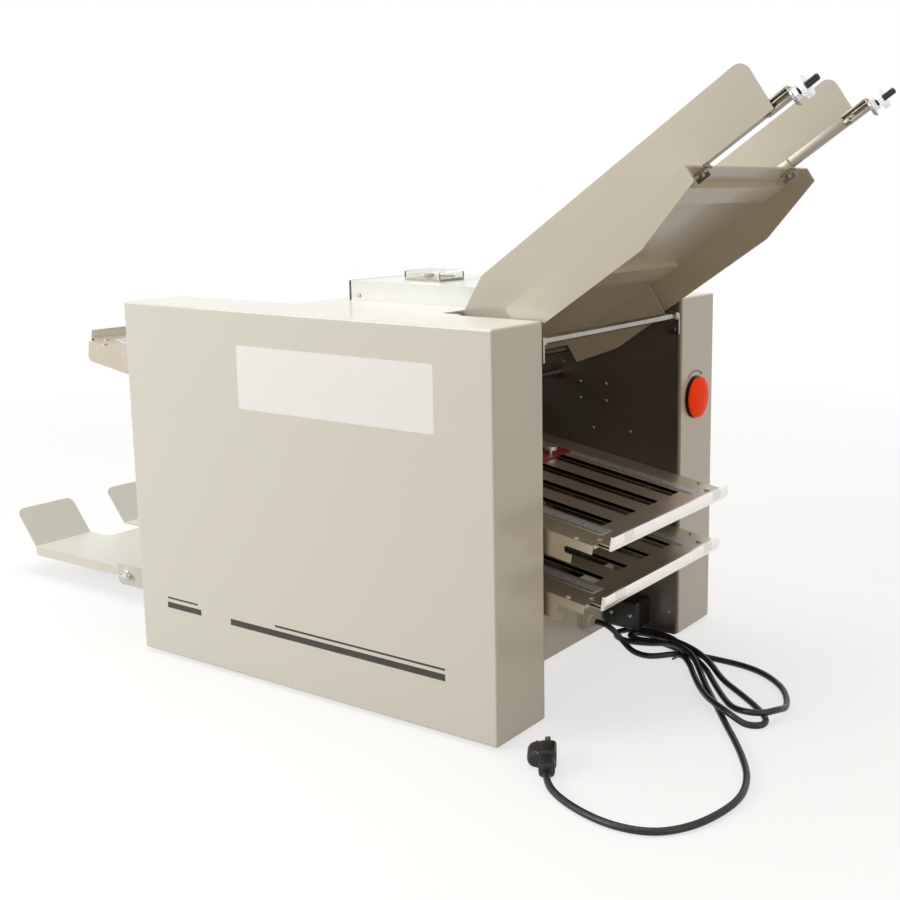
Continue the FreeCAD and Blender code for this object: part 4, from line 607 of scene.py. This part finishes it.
# Side frames: two 5 mm plates of cold-rolled steel, browned against rust and oiled, which carry
# every shaft. Their inner faces are plain but for the button-head screws.
def rolled_steel(name, tone, light_tone, rough=0.34, metal=0.85, grain=(1, 1, 30), depth=0.000003):
    """Rolled or brushed steel: a cloudy tone, and fine streaks in one direction."""
    finish = Finish(name, rough, metal)
    cloud = finish.span(finish.noise(0.09, detail=5.0), 0.3, 0.75)
    finish.colour(finish.mix(cloud, linear(*tone), linear(*light_tone)))
    streak = finish.noise(0.0008, grain)
    finish.rough(finish.span(streak, 0.25, 0.75, rough * 0.92, rough * 1.08))
    finish.relief(streak, depth)
    return finish.material


frame_brown = rolled_steel("frame_brown", (108, 101, 96), (120, 112, 106), 0.3, 0.5, (1, 1, 1))
dress(frame_brown, "near_side_frame", "far_side_frame")
frame_inner_y = 165.5
frame_screw_places = [(feed_end_x - back * cover_length, foot_height + up * cover_height) for back, up in [
    (0.315, 0.792), (0.268, 0.735), (0.197, 0.734), (0.268, 0.685), (0.197, 0.683), (0.232, 0.598),
    (0.131, 0.598), (0.023, 0.067), (0.977, 0.067), (0.977, 0.933)]]
screw_mesh = bmesh.new()
for x, z in frame_screw_places:
    for side in (-1, 1):
        button_head(screw_mesh, (x, side * frame_inner_y, z), (0, -side, 0), 2.7, 1.6)
        root = (x, side * (frame_inner_y - 0.1), z)
        turned(screw_mesh, root, (0, side, 0), [(0, 2), (7.2, 2), (7.6, 1.6)], 16)
dull_zinc = nickel("dull_zinc", (138, 134, 128), (162, 158, 152), 0.32)
frame_screws = piece("frame_button_screws", screw_mesh, "frame", dull_zinc)
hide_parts("frame_screws")
dress(bright_zinc, "plate_studs")
dress(nickel("bush_bronze", (112, 94, 72), (134, 114, 90), 0.34), "roller_bushes")

# Feet: four short turned rubber feet, screwed up into the covers' floors.
foot_rubber = vinyl("foot_rubber", (26, 26, 26), (38, 38, 37))
dress(foot_rubber, "rubber_feet")


# Control box: a shallow folded cover on the deck, enamelled pale grey-white, with a black moulded
# strip across its outer end and a screw low on each long side.
box_enamel = enamel("box_enamel", (222, 223, 218), (225, 226, 221), 0.28)
dress(box_enamel, "control_box")
dress(moulded_black, "control_box_end")
box_screws = bmesh.new()
box_screw_x, box_side_y, box_screw_z = 41.28, 92, 491
for side in (-1, 1):
    button_head(box_screws, (box_screw_x, side * box_side_y, box_screw_z), (0, side, 0), 3.2, 1.8)
piece("control_box_screws", box_screws, "frame", dull_zinc)


# Switch panel and guard: a grey moulded panel on the control box, with a start button under a
# hinged cap of clear acrylic that keeps paper and fingers off it.
panel_grey = plastic("panel_grey", (170, 161, 146), (178, 169, 154), 0.42)
dress(panel_grey, "switch_panel")
button_pale = plastic("button_pale", (214, 214, 206), (222, 222, 214), 0.34)
dress(button_pale, "start_button")
clear_cap = Finish("clear_cap", 0.06)
clear_cap.shader.inputs["Transmission Weight"].default_value = 1
clear_cap.shader.inputs["IOR"].default_value = 1.49
clear_cap.shader.inputs["Base Color"].default_value = linear(244, 246, 240)
clear_cap.rough(clear_cap.span(clear_cap.noise(0.02), 0.4, 0.7, 0.03, 0.1))
dress(clear_cap.material, "button_guard")


# Feed table: folded 2 mm sheet in cream enamel, on which the paper waits. Its underside has two
# welded stiffeners, and the whole slopes down to the feed roller.
table_enamel = enamel("table_enamel", (195, 188, 171), (199, 193, 176), 0.36)
dress(table_enamel, "feed_table")


# Rods: bright drawn steel across the frames, in split holders with a lug and screw.
rod_chrome = nickel("rod_chrome", (148, 143, 136), (176, 171, 164), 0.14)
dress(rod_chrome, "tie_rods")


# Side guides: two fins of folded sheet in cream enamel, each on a square zinc-plated arm that
# hooks over the table's end. A knurled disc on a stud and a wing screw below hold it.
class Slope:
    """A tilted working plane in millimetres: a along it, b square to it."""

    def __init__(self, x, z, angle, side):
        turn = math.radians(angle)
        self.origin = Vector((x, 0, z))
        self.along = Vector((side * math.cos(turn), 0, -side * math.sin(turn)))
        self.up = Vector((math.sin(turn), 0, math.cos(turn)))

    def place(self, flip=1):
        """The matrix from (a, y, b) in millimetres to the part's frame."""
        axes = Matrix((self.along, Vector((0, flip, 0)), self.up)).transposed().to_4x4()
        return millimetres @ Matrix.Translation(self.origin) @ axes


table_slope = Slope(564.28, 656.6, -34.93, 1)


fin_enamel = enamel("fin_enamel", (188, 181, 166), (191, 185, 170), 0.36)
arm_zinc = rolled_steel("arm_zinc", (148, 141, 129), (164, 157, 145), 0.4, 0.6, (40, 1, 1))
clip_paint = enamel("clip_paint", (170, 158, 142), (176, 164, 148), 0.38)
stud_black = nickel("stud_black", (52, 52, 52), (70, 70, 68), 0.34)


def block(mesh, a0, a1, y0, y1, b0, b1, bevel=0.0):
    """A block between two corners, with its edges broken by a small bevel."""
    part = bmesh.new()
    skin(part, [[(a, y0, b0), (a, y1, b0), (a, y1, b1), (a, y0, b1)] for a in (a0, a1)])
    if bevel:
        bmesh.ops.bevel(part, geom=part.edges[:], offset=bevel, segments=2, profile=0.5, affect="EDGES")
    loose = bpy.data.meshes.new("block")
    part.to_mesh(loose)
    part.free()
    mesh.from_mesh(loose)
    bpy.data.meshes.remove(loose)


fin_tail, fin_tip = -426, 98.5
fin_low, fin_high = 0.3, 64
fin_corner = 14
fin_y = 122
fin_sheet = 1.5
block_end = 119.6
arm_centre_y = 116.5
stud_foot = 121
stud_rise = 0.5
thread_pitch = 1.25
for side, sign in (("near", -1), ("far", 1)):
    body = side + "_side_guide"
    fin = bmesh.new()
    fin_outline = [(fin_tail, fin_low), (fin_tip, fin_low)]
    for step in range(9):
        turn = math.radians(90 * step / 8)
        fin_outline.append((fin_tip - fin_corner + fin_corner * math.cos(turn),
                            fin_high - fin_corner + fin_corner * math.sin(turn)))
    fin_outline += [(-317, fin_high), (fin_tail, 17)]
    skin(fin, [[(a, sign * y, b) for a, b in fin_outline] for y in (fin_y, fin_y + fin_sheet)])
    bmesh.ops.bevel(fin, geom=[edge for edge in fin.edges if edge.calc_face_angle(0) > 0.8],
                    offset=0.35, segments=2, profile=0.5, affect="EDGES")
    fin_piece = piece(side + "_fin", fin, body, fin_enamel, table_slope.place())
    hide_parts(body)
    arm = bmesh.new()
    inner, outer = sorted((sign * 111, sign * 121.9))
    block(arm, -60, 86, inner, outer, 0.3, 11.3, 0.8)
    low_y, high_y = sorted((sign * 108.6, sign * 121.95))
    block(arm, 85, block_end, low_y + 5, high_y, -0.6, 12.2, 0.5)
    block(arm, 85, block_end, low_y, low_y + 5.4, 9.8, 12.2, 0.5)
    block(arm, 98, block_end, low_y, low_y + 5.4, 5.6, 7.2, 0.3)
    block(arm, 85, block_end, low_y, low_y + 5.4, -0.6, 1.2, 0.4)
    block(arm, 85, 93, low_y, low_y + 5.4, -0.6, 5.4, 0.4)
    block(arm, stud_foot - 1.5, stud_foot, low_y, high_y, -11, 12.25, 0.3)
    piece(side + "_arm", arm, body, arm_zinc, table_slope.place())
    clip = bmesh.new()
    clip_low, clip_high = sorted((sign * 109, sign * 122))
    block(clip, 0.35, 2.3, clip_low, clip_high, -4.3, 11.6, 0.3)
    block(clip, -16, 2.3, clip_low, clip_high, -4.3, -2.3, 0.3)
    piece(side + "_clip", clip, body, clip_paint, table_slope.place())
    fasteners = bmesh.new()
    stud_line = Vector((stud_foot, sign * arm_centre_y, stud_rise))
    turned(fasteners, stud_line, (1, 0, 0), [(0.02, 7.4), (0.2, 8), (1.3, 8), (1.6, 7.6)], 40)
    turned(fasteners, stud_line, (1, 0, 0), [(1.6, 5.9, 6), (2.2, 6.5, 6), (7, 6.5, 6), (7.6, 5.9, 6)], 48)
    piece(side + "_guide_washer", fasteners, body, bright_zinc, table_slope.place())
    stud = bmesh.new()
    thread = []
    for turn in range(19):
        thread += [(7 + turn * thread_pitch, 3.5), (7.6 + turn * thread_pitch, 4)]
    turned(stud, stud_line, (1, 0, 0), thread + [(30.8, 3.9), (31.8, 3.2), (31.8, 2, 6), (28, 2, 6)], 24)
    piece(side + "_stud", stud, body, stud_black, table_slope.place())


dress(nickel("white_zinc", (222, 226, 228), (240, 242, 243), 0.34), "near_guide_nut", "far_guide_nut")
dress(dull_zinc, "near_guide_lock_screw", "far_guide_lock_screw")


# Fold rollers: six turned steel rollers, each with a ground rubber sleeve, and a gear or pulley
# beyond the frame. The feed roller's sleeve is softer and lighter.
def roller_finish(name, tone, light_tone, half):
    """Rubber with turned rings between the frames, bright steel on the journals beyond them."""
    finish = Finish(name, 0.5)
    across = finish.math("ABSOLUTE", finish.distance((0, 1, 0)))
    journal = finish.beyond(across, half)
    rubber = finish.mix(finish.noise(0.03), linear(*tone), linear(*light_tone))
    steel = finish.mix(finish.noise(0.01), linear(150, 148, 144), linear(188, 186, 182))
    finish.colour(finish.mix(journal, rubber, steel))
    finish.metal(journal)
    finish.rough(finish.math("SUBTRACT", 0.62, finish.math("MULTIPLY", journal, 0.34)))
    ring_pitch = 0.003
    swing = finish.math("MULTIPLY", finish.distance((0, 1, 0)), 2 * math.pi / ring_pitch)
    rings = finish.math("SINE", swing)
    finish.relief(rings, 0.00008)
    return finish.material


fold_rubber = roller_finish("fold_rubber", (34, 33, 32), (46, 45, 43), 0.1601)
dress(fold_rubber, *["fold_roller_%d" % k for k in range(1, 7)])
dress(roller_finish("feed_rubber", (176, 96, 52), (196, 116, 68), 0.0601), "feed_roller")
dress(roller_finish("exit_rubber", (60, 58, 56), (76, 74, 72), 0.1251), "exit_roller")


# Drive: a grey-green painted motor on the base pan turns the fold rollers by a toothed belt;
# two more belts drive the feed roller and the exit roller.
dress(enamel("motor_paint", (64, 68, 66), (78, 82, 80), 0.42), "drive_motor")
dress(bright_zinc, "motor_pulley")
dress(vinyl("belt_rubber", (22, 22, 22), (34, 33, 32)), "drive_belts")


# Fold plates: two slotted steel sheets a paper's gap apart, with folded side flanges, riveted
# rails and a cast aluminium end bar. Two steel rules along each show where the stop stands.
rule_height = 0.8
rule_middle = 114.5
rule_half = 11.55
rule_start = 48
bar_start = 14
channel_floor = 4.3
channel_half = 102.5
plate_rows = [("left_upper", -1, 37.35, 527), ("right_upper", 1, 0, 374), ("left_lower", -1, -37.35, 374),
              ("right_lower", 1, -74.7, 374)]


def plate_finish(name, slope, length):
    """Satin steel sheet, brighter end bar and rules, each where it lies on the plate, and painted shade
    inside the channel between the sheets.
    """
    finish = Finish(name + "_steel", 0.34)
    run = finish.distance(slope.along, slope.origin / 1000)
    across = finish.math("ABSOLUTE", finish.distance((0, 1, 0)))
    rise = finish.distance(slope.up, slope.origin / 1000)
    bar = finish.beyond(run, (length + bar_start - 0.01) / 1000)
    from_rule = finish.math("ABSOLUTE", finish.math("SUBTRACT", across, rule_middle / 1000))
    rule = finish.math("MULTIPLY", finish.beyond(rise, 0.00005),
                       finish.math("LESS_THAN", from_rule, rule_half / 1000))
    # Painted shade: faces inside the channel between the two sheets, below the top sheet's top, are painted
    # near black where shade falls in the gap.
    under = finish.math("MULTIPLY", finish.beyond(rise, -channel_floor / 1000),
                        finish.math("LESS_THAN", rise, -0.0003))
    channel_shade = finish.math("MULTIPLY", under, finish.math("LESS_THAN", across, channel_half / 1000))
    streak = finish.noise(0.0009, (60, 1, 1))
    cloud = finish.span(finish.noise(0.06, detail=5.0), 0.3, 0.75)
    outside = finish.mix(cloud, linear(192, 183, 166), linear(204, 195, 178))
    # The channel takes the painted shade colour instead of the sheet's own.
    sheet = finish.mix(channel_shade, outside, linear(24, 22, 20))
    rule_steel = finish.mix(streak, linear(196, 199, 202), linear(214, 217, 220))
    cast = finish.mix(finish.noise(0.02), linear(240, 237, 230), linear(246, 243, 238))
    finish.colour(finish.mix(bar, finish.mix(rule, sheet, rule_steel), cast))
    plated = finish.math("ADD", 0.72, finish.math("MULTIPLY", bar, 0.24))
    finish.metal(finish.math("SUBTRACT", plated, finish.math("MULTIPLY", rule, 0.32)))
    polish = finish.math("MULTIPLY", bar, 0.06)
    finish.rough(finish.math("SUBTRACT", finish.span(streak, 0.25, 0.75, 0.3, 0.4), polish))
    finish.relief(streak, 0.000003)
    return finish.material


rule_ink = vinyl("rule_ink", (18, 18, 18), (30, 30, 30))
rule_edge = 11.2
eighth_inch = 3.175
number_step = 20
plate_angle = math.radians(9)
for name, side, level, length in plate_rows:
    node = name + "_fold_plate"
    lift = Vector((math.sin(plate_angle), 0, math.cos(plate_angle))) * level
    slope = Slope(82.28 + lift.x, 287 + lift.z, 9, side)
    dress(plate_finish(name, slope, length), node)
    marks = bmesh.new()
    top = rule_height + 0.03
    for row in (-1, 1):
        middle = row * rule_middle
        for tick in range(int(length - 62.5)):
            long_tick = 4.5 if tick % 5 else (6.5 if tick % 10 else 9)
            if tick % 5 and tick % 2:
                long_tick = 3.2
            a = rule_start + tick
            edge = middle - rule_edge
            block(marks, a - 0.3, a + 0.3, edge, edge + long_tick, rule_height, top)
        for tick in range(int((length - 62) / eighth_inch)):
            a = rule_start + tick * eighth_inch
            edge = middle + rule_edge
            block(marks, a - 0.35, a + 0.35, edge - (3.4 if tick % 2 else 5.2), edge, rule_height, top)
        for number in range(1, int((length - 62) / number_step)):
            digits = bpy.data.curves.new("digits", "FONT")
            digits.body = str(number * 2)
            digits.size = 4.6
            digits.align_x = "CENTER"
            digits.align_y = "CENTER"
            digits.extrude = 0.015
            digits.resolution_u = 2
            holder = bpy.data.objects.new("digits", digits)
            bpy.context.scene.collection.objects.link(holder)
            bpy.context.view_layer.update()
            shaped = bpy.data.meshes.new_from_object(holder)
            digit_place = (rule_start + number * number_step, middle + 0.8, top - 0.01)
            shaped.transform(Matrix.Translation(digit_place))
            marks.from_mesh(shaped)
            bpy.data.objects.remove(holder)
            bpy.data.meshes.remove(shaped)
            bpy.data.curves.remove(digits)
    piece(name + "_rule_marks", marks, node, rule_ink, slope.place(side))
    heads = bmesh.new()
    for row in (-1, 1):
        for margin, y in ((24, 157), (3, 138)):
            button_head(heads, (length - margin - 3.5, row * y, 0), (0, 0, 1), 3.1, 1.3)
    piece(name + "_plate_screws", heads, node, dull_zinc, slope.place(side))


# Paper stops: a red enamelled strip with four fingers down through the slots, clamped by a
# knurled screw.
stop_red = enamel("stop_red", (150, 30, 26), (170, 40, 34), 0.34)
for name, side, level, length in plate_rows:
    dress(stop_red, name + "_paper_stop")
    dress(bright_zinc, name + "_stop_screw")


# Chute, tray and brackets: bent steel sheet. The tray with its two leaning ears and the brackets
# are enamelled, the chute is zinc-plated, and two wing screws clamp the tray.
dress(rolled_steel("chute_zinc", (168, 164, 156), (190, 186, 178)), "exit_chute")
dress(enamel("bracket_enamel", (206, 203, 190), (210, 207, 195), 0.36), "tray_brackets")
dress(enamel("tray_enamel", (219, 217, 206), (224, 222, 212), 0.36), "exit_tray")
dress(bright_zinc, "near_tray_screw", "far_tray_screw")


# Stop button: a mushroom of matt nylon in a fluorescent orange-red on a black base, in the far
# cover's feed end, with a faint painted glow. It locks when pressed and lets go when turned.
button_red = plastic("button_red", (246, 58, 6), (252, 66, 10), 0.5)
button_shader = button_red.node_tree.nodes["Principled BSDF"]
button_shader.inputs["Specular IOR Level"].default_value = 0.15
# Painted glow: a faint orange emission makes the head brighter than the lamps light it.
button_shader.inputs["Emission Color"].default_value = linear(255, 60, 4)
button_shader.inputs["Emission Strength"].default_value = 0.2
dress(button_red, "stop_button")
dress(moulded_black, "stop_button_base", "stop_button_stem")
arrow_red = plastic("arrow_red", (120, 22, 20), (132, 28, 26), 0.4)
arrow_mesh = bmesh.new()
arrow_middle = Vector((feed_end_x, 210.25, 342))
arrow_steps = 20
arrow_from, arrow_to, arrow_point = 125, 63, 54
arrow_inner, arrow_outer = [], []
for step in range(arrow_steps + 1):
    turn = math.radians(arrow_from + (arrow_to - arrow_from) * step / arrow_steps)
    for ring_points, reach in ((arrow_inner, 35.6), (arrow_outer, 37.4)):
        ring_points.append(Vector((0, math.cos(turn), math.sin(turn))) * reach)
barbs = Vector((0, math.cos(math.radians(arrow_to)), math.sin(math.radians(arrow_to))))
tip = Vector((0, math.cos(math.radians(arrow_point)), math.sin(math.radians(arrow_point))))
arrow_outline = arrow_inner + [barbs * 33, tip * 36.5, barbs * 40] + arrow_outer[::-1]
arrow_rings = []
for out in (0.02, 0.12):
    arrow_rings.append([arrow_middle + point + Vector((out, 0, 0)) for point in arrow_outline])
skin(arrow_mesh, arrow_rings)
piece("turn_arrow", arrow_mesh, "frame", arrow_red)
